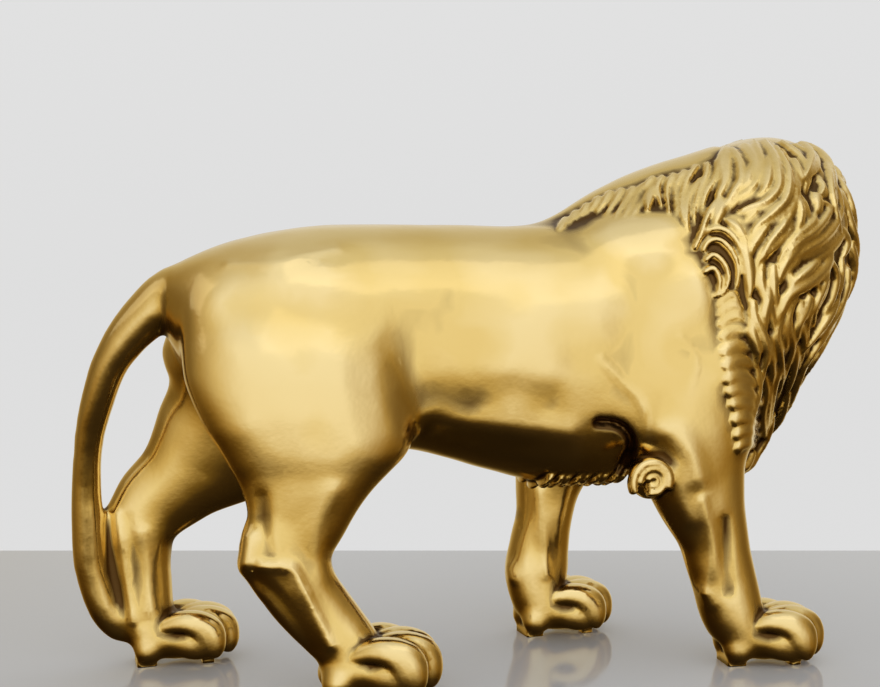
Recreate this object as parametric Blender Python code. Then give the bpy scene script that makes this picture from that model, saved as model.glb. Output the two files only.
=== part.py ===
# Walking lion, a statue cast as one piece and modelled here as one solid.
# It strides along +X with its head turned to its left, and +Y is its left side.
# Every place and size below is a share of HEIGHT, apart from the counts and angles.
import math

import bmesh
import bpy
import numpy as np
from mathutils import Matrix, Vector
from mathutils.bvhtree import BVHTree

HEIGHT = 1.25  # metres, from the soles to the crown of the mane

BODY_GRAIN = 0.0085  # voxel that fuses the torso, limbs and neck
FINE_GRAIN = 0.0058  # voxel that fuses the locks, paws and face onto them
BODY_SOFTEN = 14  # passes that round the joins between limbs and torso
FINE_SOFTEN = 2
MELT_ROUNDS = 24  # passes that run the trunk's masses into one another
MELT_LOW = (0.40, 0.12)  # height at which the melting begins, and how far it takes to grow full
MELT_REAR = (-0.57, 0.08)
MELT_FORE = (0.46, 0.10)
TRIANGLES = 9400  # faces kept in the finished solid

STANCE = 0.140  # each paw's distance from the middle plane
HEAD_TURN = 54  # degrees to the lion's left
HEAD_DROP = 6  # degrees that the muzzle points down

TORSO_SIDES = 2.5  # 2 is an ellipse, more is squarer
TORSO_RINGS = 44
# x, middle height, half width, half height, from the rump to the breast
TORSO = [
    (-0.572, 0.672, 0.045, 0.040),
    (-0.545, 0.655, 0.090, 0.085),
    (-0.490, 0.643, 0.128, 0.125),
    (-0.420, 0.630, 0.152, 0.159),
    (-0.320, 0.619, 0.160, 0.188),
    (-0.220, 0.612, 0.155, 0.200),
    (-0.120, 0.605, 0.152, 0.207),
    (0.000, 0.587, 0.167, 0.225),
    (0.100, 0.574, 0.176, 0.239),
    (0.200, 0.576, 0.176, 0.248),
    (0.310, 0.587, 0.165, 0.243),
    (0.410, 0.596, 0.145, 0.215),
    (0.490, 0.590, 0.112, 0.165),
    (0.540, 0.590, 0.060, 0.080),
]

# Each limb: x, share of STANCE, z, half width across, half depth along the limb's own bend
NEAR_HIND = [
    (-0.370, 0.55, 0.690, 0.055, 0.130),
    (-0.365, 0.62, 0.620, 0.082, 0.180),
    (-0.350, 0.72, 0.540, 0.088, 0.196),
    (-0.335, 0.82, 0.470, 0.080, 0.184),
    (-0.325, 0.89, 0.425, 0.069, 0.166),
    (-0.332, 0.92, 0.382, 0.058, 0.134),
    (-0.343, 0.95, 0.345, 0.051, 0.107),
    (-0.357, 0.97, 0.305, 0.044, 0.089),
    (-0.382, 0.98, 0.255, 0.042, 0.079),
    (-0.357, 1.00, 0.190, 0.040, 0.066),
    (-0.314, 1.00, 0.132, 0.040, 0.060),
    (-0.275, 1.00, 0.086, 0.046, 0.054),
    (-0.250, 1.00, 0.056, 0.046, 0.046),
]
FAR_HIND = [
    (-0.370, 0.55, 0.690, 0.055, 0.130),
    (-0.375, 0.62, 0.620, 0.082, 0.178),
    (-0.392, 0.72, 0.530, 0.088, 0.188),
    (-0.430, 0.82, 0.450, 0.078, 0.163),
    (-0.487, 0.90, 0.392, 0.062, 0.126),
    (-0.541, 0.94, 0.340, 0.050, 0.088),
    (-0.587, 0.97, 0.298, 0.044, 0.077),
    (-0.614, 0.98, 0.252, 0.042, 0.067),
    (-0.617, 1.00, 0.200, 0.040, 0.062),
    (-0.612, 1.00, 0.145, 0.040, 0.058),
    (-0.605, 1.00, 0.090, 0.044, 0.054),
    (-0.590, 1.00, 0.050, 0.046, 0.048),
]
NEAR_FORE = [
    (0.330, 0.70, 0.700, 0.045, 0.100),
    (0.345, 0.80, 0.620, 0.066, 0.142),
    (0.360, 0.86, 0.530, 0.075, 0.140),
    (0.368, 0.90, 0.440, 0.070, 0.122),
    (0.370, 0.94, 0.370, 0.060, 0.104),
    (0.386, 0.97, 0.305, 0.053, 0.085),
    (0.405, 0.98, 0.250, 0.048, 0.070),
    (0.418, 1.00, 0.197, 0.044, 0.064),
    (0.433, 1.00, 0.145, 0.045, 0.062),
    (0.446, 1.00, 0.100, 0.048, 0.060),
    (0.464, 1.00, 0.055, 0.048, 0.052),
]
FAR_FORE = [
    (0.330, 0.70, 0.700, 0.045, 0.100),
    (0.325, 0.80, 0.620, 0.066, 0.140),
    (0.300, 0.86, 0.530, 0.075, 0.138),
    (0.255, 0.90, 0.440, 0.070, 0.118),
    (0.205, 0.94, 0.365, 0.060, 0.090),
    (0.185, 0.97, 0.300, 0.053, 0.069),
    (0.177, 0.98, 0.240, 0.048, 0.058),
    (0.168, 1.00, 0.180, 0.045, 0.062),
    (0.162, 1.00, 0.130, 0.047, 0.066),
    (0.164, 1.00, 0.085, 0.048, 0.058),
    (0.172, 1.00, 0.050, 0.048, 0.052),
]
LIMB_SIDES = 2.2
LIMB_RINGS = 40
THIGH_LEVEL = 0.26  # height above which the sections of the near thigh turn level
LEVEL_BLEND = 0.06  # rise over which they do so

# Masses that round the joins: middle, radii, and turn in degrees about the lion's left
PAIRED_MUSCLES = {
    "shoulder": ((0.335, 0.118, 0.640), (0.105, 0.068, 0.150), 20),
    "withers": ((0.300, 0.078, 0.752), (0.175, 0.086, 0.098), -6),
    "elbow": ((0.250, 0.130, 0.480), (0.075, 0.050, 0.105), -38),
    "ribs": ((0.060, 0.090, 0.560), (0.170, 0.088, 0.170), 0),
    "loin": ((-0.340, 0.095, 0.690), (0.120, 0.066, 0.085), 12),
    "rump": ((-0.470, 0.085, 0.640), (0.080, 0.060, 0.095), 0),
}
SINGLE_MUSCLES = {
    "near_knee": ((-0.262, -0.115, 0.440), (0.070, 0.058, 0.080), 35),
    "far_knee": ((-0.275, 0.110, 0.430), (0.090, 0.055, 0.070), -20),
    "groin": ((-0.175, 0, 0.461), (0.110, 0.105, 0.050), 8),
    "near_hock": ((-0.440, -0.138, 0.237), (0.025, 0.030, 0.027), -20),
    "far_hock": ((-0.655, 0.137, 0.270), (0.028, 0.030, 0.034), 0),
}

# Paws: where the ankle stands, on which side, which way the toes point in degrees from +X, and how large
PAW_LENGTH = 0.150  # from the middle of the ankle to the tip of the toes
PAW_WIDTH = 0.118
PAW_HEIGHT = 0.104
PAWS = {
    "near_hind": (-0.276, -1, -3, 1.06),
    "far_hind": (-0.583, 1, 4, 0.98),
    "near_fore": (0.470, -1, -4, 1.01),
    "far_fore": (0.170, 1, 5, 1.0),
}
PAW_BACK = ((0.030, 0.42), (0.078, 0.86, 0.50), 8)  # the instep's middle, radii and slope
TOE_ASIDE = (-0.74, -0.26, 0.26, 0.74)  # shares of half the paw's width
TOE_REACH = (0.80, 1.0, 1.0, 0.80)  # shares of the paw's length
TOE_FAN = 12  # degrees that an outer toe would turn if it stood at the paw's very edge
HEEL = ((-0.022, 0.36, 0.024), (0.030, 0.40, 0.032))
SOLE_CLEARANCE = 0.009  # height of the toes over the ground, which the pads under them fill
TOE_STUB = (0.088, -0.028, 0.022, 0.024)  # ahead of the ankle, aside, length and width
HEEL_PAD = (-0.022, 0, 0.036, 0.058)
STUB_HEIGHT = 0.038  # half of it is under the ground, where it is cut off

# The tail: x, y, z, radius, from the rump down to the heel of the far hind leg
TAIL = [
    (-0.480, 0.000, 0.690, 0.050),
    (-0.545, 0.002, 0.688, 0.050),
    (-0.603, 0.010, 0.645, 0.043),
    (-0.656, 0.025, 0.576, 0.034),
    (-0.684, 0.048, 0.500, 0.030),
    (-0.700, 0.075, 0.425, 0.027),
    (-0.706, 0.098, 0.345, 0.027),
    (-0.705, 0.112, 0.265, 0.030),
    (-0.700, 0.124, 0.188, 0.031),
    (-0.677, 0.131, 0.112, 0.031),
    (-0.650, 0.136, 0.068, 0.026),
    (-0.630, 0.140, 0.060, 0.010),
]

# The mane's body: x, y, z, turn and tilt of each ring in degrees, half width, half height
MANE = [
    (0.380, 0.000, 0.600, 0, 18, 0.130, 0.200),
    (0.408, 0.000, 0.615, 0, 19, 0.176, 0.268),
    (0.450, 0.000, 0.632, 0, 21, 0.186, 0.284),
    (0.500, 0.004, 0.675, 5, 22, 0.187, 0.269),
    (0.540, 0.012, 0.704, 12, 20, 0.186, 0.261),
    (0.576, 0.030, 0.722, 24, 15, 0.180, 0.262),
    (0.611, 0.058, 0.740, 38, 9, 0.173, 0.257),
    (0.640, 0.088, 0.757, 49, 4, 0.166, 0.241),
    (0.664, 0.122, 0.757, 54, 0, 0.147, 0.227),
    (0.682, 0.152, 0.753, 54, 0, 0.118, 0.188),
    (0.692, 0.172, 0.757, 54, 0, 0.066, 0.107),
]
MANE_TAPER = 0.55  # how much narrower the mane grows towards its tip under the chin
# The crest on the withers and the bib on the breast: x, y, z, half width, half depth
CREST = [
    (0.105, 0, 0.790, 0.014, 0.022),
    (0.165, 0, 0.810, 0.036, 0.036),
    (0.240, 0, 0.833, 0.062, 0.055),
    (0.340, 0, 0.851, 0.086, 0.079),
    (0.430, 0, 0.864, 0.104, 0.092),
    (0.520, 0, 0.884, 0.110, 0.096),
]
BIB = [
    (0.520, 0.010, 0.640, 0.130, 0.105),
    (0.496, 0.004, 0.520, 0.106, 0.070),
    (0.488, 0.000, 0.430, 0.086, 0.052),
    (0.500, 0.000, 0.375, 0.070, 0.048),
    (0.510, 0.000, 0.345, 0.050, 0.038),
]
BROW = ((0.742, 0.050, 0.892), (0.038, 0.040, 0.040))  # the bulge of hair over the near ear

SKULL = (0.700, 0.150, 0.795)  # middle of the skull
# Masses of the head in its own frame, ahead, to the left and up: middle, radii and the slope in degrees
FACE = {
    "skull": ((0.000, 0, 0.012), (0.100, 0.090, 0.094), 0),
    "forehead": ((0.066, 0, 0.040), (0.060, 0.046, 0.046), 22),
    "bridge": ((0.112, 0, 0.022), (0.062, 0.031, 0.030), 20),
    "muzzle": ((0.126, 0, -0.030), (0.048, 0.044, 0.038), 6),
    "nose": ((0.172, 0, 0.006), (0.015, 0.026, 0.015), 18),
    "chin": ((0.136, 0, -0.076), (0.030, 0.030, 0.024), 0),
    "jaw": ((0.085, 0, -0.070), (0.060, 0.038, 0.028), -6),
}
# The paired masses, with the turn in degrees about the head's upright axis as well
FACE_PAIRS = {
    "cheek": ((0.040, 0.054, -0.024), (0.064, 0.044, 0.060), 0, 0),
    "lip": ((0.146, 0.023, -0.032), (0.036, 0.028, 0.032), 8, 0),
    "brow": ((0.076, 0.040, 0.060), (0.032, 0.027, 0.015), 26, 14),
    "eye": ((0.084, 0.044, 0.032), (0.014, 0.016, 0.013), 0, 0),
    "ear": ((-0.020, 0.098, 0.086), (0.017, 0.034, 0.038), -6, -28),
    "ear_lining": ((-0.003, 0.104, 0.084), (0.010, 0.012, 0.016), -6, -28),
}
FACE_OPENING = 0.112  # radius round the face that the hair leaves free
SMOOTH_CREST = (0.50, 0.030, 0.78)  # the crest is smooth behind this x, inside this y and above this z

HAIR_FALL = (-0.10, 0, -1)  # the way that loose hair hangs
CROWN = (0.62, 0.08)  # x and y of the place from which the hair parts
CROWN_RISE = (0.84, 0.14)  # height at which the parting begins to lead the hair, and how far it grows
CROWN_PULL = 5.0
LOCK_SPACING = 0.044  # from one lock to the next beside it
LOCK_STEP = 0.100  # and to the next one below it
LOCK_LENGTH = 0.185
LOCK_WIDTH = 0.023
LOCK_THICK = 0.024
LOCK_LIFT = 0.014
LOCK_SWING = 42  # degrees that the hair swings to each side as it falls
LOCK_WAVE = 0.290  # height of one whole swing

# Where the viewer of this side stands, in shares from the statue's middle, and the plane on which
# the places of the locks are measured, which faces the viewer through the statue
EYE = (-0.657, -2.167, 0.701)
EYE_TURN = 15.0  # degrees behind the lion's right side
EYE_DROP = 2.74  # degrees that the view points down
PLANE_AWAY = 2.264
FACING = 0.22  # a place counts as seen where its normal leans this far towards the viewer
# The main locks on this side: half width, then points right of and above the view's middle, in centimetres
LOCKS = [
    (2.3, [(67.9, 45.1), (70.5, 37.9), (68.4, 34.0), (66.0, 28.1)]),
    (2.3, [(73.1, 46.9), (74.9, 39.9), (72.3, 34.8), (67.4, 30.9)]),
    (2.7, [(75.4, 46.9), (78.7, 38.9), (75.4, 31.7), (68.2, 29.9)]),
    (2.7, [(78.0, 45.6), (81.1, 36.3), (76.9, 29.1), (71.5, 22.4)]),
    (2.3, [(80.5, 36.8), (82.1, 31.2), (76.4, 22.2), (72.3, 12.6)]),
    (2.3, [(79.0, 46.6), (84.7, 38.9), (84.4, 34.3)]),
    (2.7, [(82.1, 34.8), (83.1, 27.6), (78.5, 20.9)]),
    (2.3, [(85.7, 33.7), (89.5, 29.1), (82.6, 22.7), (78.2, 15.7)]),
    (2.7, [(84.1, 46.1), (92.1, 32.2), (88.3, 23.2), (80.0, 17.8), (78.2, 12.6)]),
    (1.9, [(86.7, 44.0), (92.6, 29.6), (90.3, 21.9), (81.1, 16.2), (78.5, 11.6)]),
    (2.1, [(90.3, 22.9), (85.7, 14.7), (78.5, 7.5), (78.0, 3.4)]),
    (1.9, [(89.3, 43.0), (92.6, 33.7), (96.2, 22.9), (94.7, 12.6)]),
    (1.7, [(92.1, 36.3), (94.4, 26.0), (94.2, 15.7), (92.9, 11.1)]),
    (1.7, [(89.8, 19.9), (90.3, 10.6), (87.7, 1.8)]),
    (2.3, [(86.7, 15.7), (85.2, 6.5), (85.7, -2.3), (84.1, -6.9)]),
    (1.9, [(82.6, 11.1), (80.0, 3.9), (80.0, -4.9), (78.5, -13.6)]),
    (1.7, [(83.6, 10.6), (83.6, 1.3), (79.5, -12.6)]),
    (1.7, [(90.8, 9.0), (87.7, -0.7), (80.0, -13.6)]),
    (1.9, [(70.5, 27.1), (71.0, 17.8), (71.0, 8.5)]),
    (1.9, [(74.4, 18.8), (76.2, 6.5), (74.4, -6.4)]),
    (1.9, [(72.3, 10.6), (74.9, -1.8), (73.1, -11.5)]),
    (1.7, [(77.5, 0.3), (76.7, -10.0), (74.9, -24.9)]),
    (1.5, [(74.4, -5.9), (73.9, -16.2), (74.1, -24.9)]),
    (1.4, [(54.3, 39.4), (52.5, 35.3), (53.8, 29.6)]),
    (1.4, [(59.7, 41.5), (55.8, 31.2), (57.6, 25.0)]),
    (1.4, [(64.1, 42.5), (61.5, 34.3), (60.5, 27.1)]),
    (1.4, [(58.7, 21.4), (63.0, 26.3), (68.7, 22.9), (71.5, 11.1)]),
    (1.4, [(61.0, 18.8), (65.4, 18.3), (63.3, 10.6)]),
]
# The ribbed curls that lie one on the other down the mane's rear edge, placed in the same way
CURL_LINE = [(66.4, 10.1), (68.4, 2.9), (68.4, -4.9), (70.2, -13.6), (71.0, -22.3)]
CURL_COUNT = 9
CURL_REACH = 3.0  # centimetres to each side of the line
CURL_ARC = [(-1, -1.9), (-0.6, 0.1), (0.3, 0.9), (1, -0.6)]  # share of the reach, and centimetres up
# Tufts that hang from the crest over the shoulder: first and last, and how many
TUFTS = [(27.5, 28.6), (43.5, 33.6)]
TUFT_COUNT = 8
TUFT_LENGTH = 4.2  # centimetres

# Curls down the edge of the mane on the far shoulder: x, z, radius
CURLS = [
    (0.395, 0.735, 0.040),
    (0.425, 0.655, 0.030),
    (0.440, 0.595, 0.028),
    (0.452, 0.540, 0.027),
    (0.462, 0.487, 0.025),
    (0.472, 0.437, 0.023),
]
CURL_THICK = 0.011
ELBOW_CURL = (0.266, -0.178, 0.352, 0.025)  # x, y, z, radius
ELBOW_BUTTON = (0.278, -0.148, 0.352)
FRINGE = (0.105, 0.250, 11)  # first and last x under the breast, and the count of tufts
FRINGE_ROWS = {-0.075: 0.356, -0.020: 0.343, 0.035: 0.346, 0.085: 0.358}  # height of each row by its y


def through(values, count):
    """count rows on a smooth curve through the given rows."""
    values = np.array(values, float)
    at = np.linspace(0, len(values) - 1, count)
    first = np.clip(at.astype(int), 0, len(values) - 2)
    f = (at - first)[:, None]
    ends = np.vstack([2 * values[0] - values[1], values, 2 * values[-1] - values[-2]])
    a, b, c, d = (ends[first + k] for k in range(4))
    return 0.5 * (2 * b + (c - a) * f + (2 * a - 5 * b + 4 * c - d) * f**2 + (3 * b - a - 3 * c + d) * f**3)


def rounded(angle, sides):
    """A point of a unit outline, which is an ellipse where sides is 2 and squarer above it."""
    c, s = math.cos(angle), math.sin(angle)
    power = 2 / sides
    return math.copysign(abs(c) ** power, c), math.copysign(abs(s) ** power, s)


def add(bm, lump):
    """The lump joins the rest of the clay in bm, and its own mesh is freed."""
    mesh = bpy.data.meshes.new("lump")
    lump.to_mesh(mesh)
    lump.free()
    bm.from_mesh(mesh)
    bpy.data.meshes.remove(mesh)


def sweep(bm, points, across, along, widths, depths, around=20, sides=2.0, taper=0.0):
    """A closed bar through the points: a ball of clay whose rings are drawn out along them."""
    rings = len(points) - 1
    ball = bmesh.new()
    bmesh.ops.create_uvsphere(ball, u_segments=around, v_segments=rings, radius=1.0)
    for vert in ball.verts:
        k = round(math.acos(max(-1.0, min(1.0, vert.co.z))) / math.pi * rings)
        if k in (0, rings):
            vert.co = Vector(points[k]) * HEIGHT
            continue
        c, s = rounded(math.atan2(vert.co.y, vert.co.x), sides)
        c *= 1 - taper * max(0.0, -s) ** 1.5
        place = points[k] + across[k] * (widths[k] * c) + along[k] * (depths[k] * s)
        vert.co = Vector(place) * HEIGHT
    add(bm, ball)


def frames(points):
    """For each point, the way nearest the lion's left and the one square to it, both square to the run."""
    left = np.array((0.0, 1.0, 0.0))
    run = np.gradient(points, axis=0)
    run /= np.linalg.norm(run, axis=1)[:, None]
    across = left - run * (run @ left)[:, None]
    across /= np.linalg.norm(across, axis=1)[:, None]
    return across, np.cross(run, across)


def bar(bm, stations, rings, around=20, sides=2.0, level=None):
    """A swept bar whose stations are x, y, z, half width and half depth; above level its rings lie flat."""
    rows = through(stations, rings)
    across, along = frames(rows[:, :3])
    if level is not None:
        flat = np.clip((rows[:, 2:3] - level) / LEVEL_BLEND, 0, 1)
        along = along * (1 - flat) + np.array((1.0, 0.0, 0.0)) * flat
    sweep(bm, rows[:, :3], across, along, rows[:, 3], rows[:, 4], around, sides)


def blob(bm, centre, radii, turn=(0, 0, 0), frame=None):
    """An egg of clay: centre and radii in shares, turn in degrees about the frame's X, Y and Z."""
    spin = Matrix.Identity(4)
    for axis, angle in zip("XYZ", turn):
        spin = Matrix.Rotation(math.radians(angle), 4, axis) @ spin
    place = Matrix.Translation(Vector(centre)) @ spin @ Matrix.Diagonal((*radii, 1))
    whole = Matrix.Scale(HEIGHT, 4) @ (frame or Matrix.Identity(4)) @ place
    ball = bmesh.new()
    bmesh.ops.create_uvsphere(ball, u_segments=24, v_segments=14, radius=1.0, matrix=whole)
    add(bm, ball)


def head_frame():
    """X runs out of the face, Y to the lion's left, Z up, from the middle of the skull."""
    turn = Matrix.Rotation(math.radians(HEAD_TURN), 4, "Z")
    drop = Matrix.Rotation(math.radians(HEAD_DROP), 4, "Y")
    return Matrix.Translation(Vector(SKULL)) @ turn @ drop


def mesh_object(name, bm):
    mesh = bpy.data.meshes.new(name)
    bmesh.ops.recalc_face_normals(bm, faces=bm.faces)
    bm.to_mesh(mesh)
    bm.free()
    obj = bpy.data.objects.new(name, mesh)
    bpy.context.scene.collection.objects.link(obj)
    return obj


def fused(obj, grain, passes):
    """The object's shapes made one skin by voxels, then softened; its mesh is replaced."""
    fuse = obj.modifiers.new("Fuse", "REMESH")
    fuse.mode = "VOXEL"
    fuse.voxel_size = grain * HEIGHT
    fuse.adaptivity = 0
    soften = obj.modifiers.new("Soften", "SMOOTH")
    soften.factor = 0.5
    soften.iterations = passes
    graph = bpy.context.evaluated_depsgraph_get()
    mesh = bpy.data.meshes.new_from_object(obj.evaluated_get(graph))
    obj.modifiers.clear()
    old = obj.data
    obj.data = mesh
    bpy.data.meshes.remove(old)
    return obj


def melted(obj, rounds):
    """The masses of the trunk run into one another, and the limbs stay as they are."""
    mesh = obj.data
    co = np.empty(len(mesh.vertices) * 3)
    mesh.vertices.foreach_get("co", co)
    co = co.reshape(-1, 3)
    ends = np.empty(len(mesh.edges) * 2, int)
    mesh.edges.foreach_get("vertices", ends)
    a, b = ends.reshape(-1, 2).T
    count = np.bincount(np.r_[a, b], minlength=len(co))[:, None]
    x, z = co[:, 0] / HEIGHT, co[:, 2] / HEIGHT
    share = np.clip((z - MELT_LOW[0]) / MELT_LOW[1], 0, 1)
    share *= np.clip((x - MELT_REAR[0]) / MELT_REAR[1], 0, 1)
    share *= np.clip((MELT_FORE[0] - x) / MELT_FORE[1], 0, 1)
    for _ in range(rounds):
        total = [np.bincount(np.r_[a, b], co[np.r_[b, a], k], len(co)) for k in range(3)]
        co += 0.6 * share[:, None] * (np.stack(total, 1) / count - co)
    mesh.vertices.foreach_set("co", co.ravel())
    mesh.update()
    return obj


def torso(bm):
    rows = through([(x, 0, z, w, h) for x, z, w, h in TORSO], TORSO_RINGS)
    up = np.tile((0.0, 0.0, 1.0), (TORSO_RINGS, 1))
    left = np.tile((0.0, 1.0, 0.0), (TORSO_RINGS, 1))
    sweep(bm, rows[:, :3], left, up, rows[:, 3], rows[:, 4], 32, TORSO_SIDES)


def limb(bm, stations, hand, level=None):
    rows = [(x, hand * y * STANCE, z, w, d) for x, y, z, w, d in stations]
    bar(bm, rows, LIMB_RINGS, 24, LIMB_SIDES, level)


def muscles(bm):
    """The masses that round the shoulders, elbows, haunches and knees."""
    for (x, y, z), radii, turn in PAIRED_MUSCLES.values():
        for hand in (-1, 1):
            blob(bm, (x, hand * y, z), radii, (0, turn, 0))
    for middle, radii, turn in SINGLE_MUSCLES.values():
        blob(bm, middle, radii, (0, turn, 0))


def mane_body(bm):
    rows = through(MANE, 40)
    turn, tilt = np.radians(rows[:, 3]), np.radians(rows[:, 4])
    left = np.stack([-np.sin(turn), np.cos(turn), 0 * turn], 1)
    up = np.stack([-np.sin(tilt) * np.cos(turn), -np.sin(tilt) * np.sin(turn), np.cos(tilt)], 1)
    sweep(bm, rows[:, :3], left, up, rows[:, 5], rows[:, 6], 36, 2.2, MANE_TAPER)
    bar(bm, CREST, 16, 16)
    bar(bm, BIB, 18, 20)
    blob(bm, *BROW)


def tail(bm):
    bar(bm, [(x, y, z, r, r) for x, y, z, r in TAIL], 48, 14)


def paw(bm, x, hand, yaw, size):
    """Four toes, the instep behind them and two heel pads, over a flat sole."""
    lift = Matrix.Translation((x, hand * STANCE, SOLE_CLEARANCE))
    frame = lift @ Matrix.Rotation(math.radians(yaw), 4, "Z") @ Matrix.Scale(size, 4)
    half = PAW_WIDTH / 2
    high = PAW_HEIGHT - SOLE_CLEARANCE
    toe = half / 3.1
    (ahead, up), (long, wide, tall), slope = PAW_BACK
    blob(bm, (ahead, 0, up * high), (long, wide * half, tall * high), (0, slope, 0), frame)
    for place, reach in zip(TOE_ASIDE, TOE_REACH):
        y = place * half
        tip = PAW_LENGTH * reach
        fan = place * TOE_FAN
        blob(bm, (tip - 0.062, y, high * 0.56), (0.060, toe * 1.12, high * 0.44), (0, 14, fan), frame)
        blob(bm, (tip - 0.034, y * 1.06, high * 0.40), (0.036, toe * 1.14, high * 0.42), (0, 0, fan), frame)
    (back, aside, up), (long, wide, tall) = HEEL
    for side in (-1, 1):
        blob(bm, (back, side * half * aside, up), (long, half * wide, tall), frame=frame)


def lugs(bm):
    """The flat heel pad and the square stub under the near toes, which each paw stands on."""
    for x, hand, yaw, _ in PAWS.values():
        turn = Matrix.Rotation(math.radians(yaw), 4, "Z")
        base = Matrix.Scale(HEIGHT, 4) @ Matrix.Translation((x, hand * STANCE, 0)) @ turn
        for ahead, aside, long, wide in (TOE_STUB, HEEL_PAD):
            stub = bmesh.new()
            size = Matrix.Diagonal((long, wide, STUB_HEIGHT, 1))
            place = base @ Matrix.Translation((ahead, aside, 0)) @ size
            bmesh.ops.create_cube(stub, size=1.0, matrix=place)
            add(bm, stub)


def face(bm):
    head = head_frame()
    for middle, radii, slope in FACE.values():
        blob(bm, middle, radii, (0, slope, 0), head)
    for (x, y, z), radii, slope, turn in FACE_PAIRS.values():
        for side in (-1, 1):
            blob(bm, (x, side * y, z), radii, (0, slope, side * turn), head)


def flow(point, normal):
    """The way the hair runs at a point of the mane: out from the face or the crown, then down in waves."""
    spot = Vector(point) / HEIGHT
    to_face = Matrix.Rotation(math.radians(HEAD_TURN), 3, "Z") @ Vector((1, 0, 0))
    from_skull = spot - Vector(SKULL)
    ahead = from_skull.dot(to_face)
    out = from_skull - to_face * ahead
    out = out.normalized() if out.length > 1e-6 else Vector((0, 0, 1))
    near_face = max(0.0, min(1.0, (ahead + 0.06) / 0.08))
    crown = Vector((spot.x - CROWN[0], spot.y - CROWN[1], 0))
    high = max(0.0, min(1.0, (spot.z - CROWN_RISE[0]) / CROWN_RISE[1]))
    fall = Vector(HAIR_FALL) + crown * (CROWN_PULL * high)
    way = fall.normalized() * (1 - near_face) + out * near_face
    way -= normal * way.dot(normal)
    way = way.normalized() if way.length > 1e-6 else Vector((-1, 0, 0))
    side = normal.cross(way)
    phase = 2 * math.pi * (1.0 - spot.z) / LOCK_WAVE + 2.2 * spot.x
    swing = math.radians(LOCK_SWING * (1 - 0.5 * near_face)) * math.cos(phase)
    return way * math.cos(swing) + side * math.sin(swing)


def lock_path(skin, start, length, steps=15):
    """Points and normals of a strand combed along the skin from start."""
    spot, normal, _, _ = skin.find_nearest(start)
    points, normals = [spot], [normal]
    step = length * HEIGHT / steps
    for _ in range(steps):
        spot, normal, _, _ = skin.find_nearest(spot + flow(spot, normal) * step)
        points.append(spot)
        normals.append(normal)
    return np.array(points) / HEIGHT, np.array(normals)


def lock(bm, points, normals, width, thick, lift):
    """A leaf of hair: its root is sunk in the mane, and its pointed tip stands proud."""
    rings = len(points)
    t = np.linspace(0, 1, rings)
    run = np.gradient(points, axis=0)
    run /= np.linalg.norm(run, axis=1)[:, None]
    across = np.cross(normals, run)
    across /= np.linalg.norm(across, axis=1)[:, None]
    leaf = np.sin(math.pi * (0.10 + 0.90 * t) ** 0.75) ** 0.8
    centres = points + normals * (lift * t ** 1.3 - thick * 0.35)[:, None]
    sweep(bm, centres, across, normals, width * leaf, thick * leaf ** 0.6, 8)


def is_hair(point):
    """True where the mane grows: on its body, but not in the face's opening or along the smooth crest."""
    spot = Vector(point) / HEIGHT
    local = head_frame().inverted() @ spot
    in_face = local.x > 0.02 and math.hypot(local.y, local.z) < FACE_OPENING
    crest_x, crest_y, crest_z = SMOOTH_CREST
    on_crest = spot.x < crest_x and abs(spot.y) < crest_y and spot.z > crest_z
    return not in_face and not on_crest


def crowded(offset, way):
    """True where a lock would start too near another that runs along way."""
    along = offset.dot(way)
    across = (offset - way * along).length
    return math.hypot(along / LOCK_STEP, across / LOCK_SPACING) < HEIGHT


def seen_at(skin, right, up):
    """Where the viewer's line of sight through a place on the plane meets the skin."""
    turn, drop = math.radians(EYE_TURN), math.radians(EYE_DROP)
    ahead = Vector((math.sin(turn) * math.cos(drop), math.cos(turn) * math.cos(drop), -math.sin(drop)))
    aside = Vector((math.cos(turn), -math.sin(turn), 0))
    reach = ahead * (PLANE_AWAY * HEIGHT) + aside * (right / 100) + aside.cross(ahead) * (up / 100)
    eye = Vector(EYE) * HEIGHT
    spot, normal, _, _ = skin.ray_cast(eye, reach.normalized())
    if spot is None:
        spot, normal, _, _ = skin.find_nearest(eye + reach)
    return spot, normal


def seen_stroke(skin, line, count):
    """Points and normals of a strand that follows the line as the viewer sees it."""
    found = [seen_at(skin, right, up) for right, up in through(line, count)]
    points = np.array([spot for spot, _ in found]) / HEIGHT
    normals = np.array([normal for _, normal in found])
    for _ in range(3):
        points[1:-1] = (points[:-2] + 2 * points[1:-1] + points[2:]) / 4
        normals[1:-1] = (normals[:-2] + 2 * normals[1:-1] + normals[2:]) / 4
    return points, normals / np.linalg.norm(normals, axis=1)[:, None]


def placed_locks(bm, skin):
    """The locks on the side that is known, each in its own place, and the ribbed curls behind them."""
    for i, (width, line) in enumerate(LOCKS):
        points, normals = seen_stroke(skin, line, 5 + 3 * len(line))
        half = width / 100 / HEIGHT
        lock(bm, points, normals, half * 1.05, half * 1.55, 0.002 + 0.004 * (i % 4))
    for right, up in through(CURL_LINE, CURL_COUNT):
        arc = [(right + CURL_REACH * ahead, up + rise) for ahead, rise in CURL_ARC]
        points, normals = seen_stroke(skin, arc, 12)
        lock(bm, points, normals, CURL_THICK * 1.1, CURL_THICK * 1.8, 0.006)
    for right, up in through(TUFTS, TUFT_COUNT):
        lean, half = 0.3 * TUFT_LENGTH, TUFT_LENGTH / 2
        points, normals = seen_stroke(skin, [(right + lean, up + half), (right - lean, up - half)], 8)
        lock(bm, points, normals, CURL_THICK, CURL_THICK * 1.5, 0.004)


def faces_viewer(point, normal):
    return (Vector(EYE) * HEIGHT - point).normalized().dot(normal) > FACING


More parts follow.
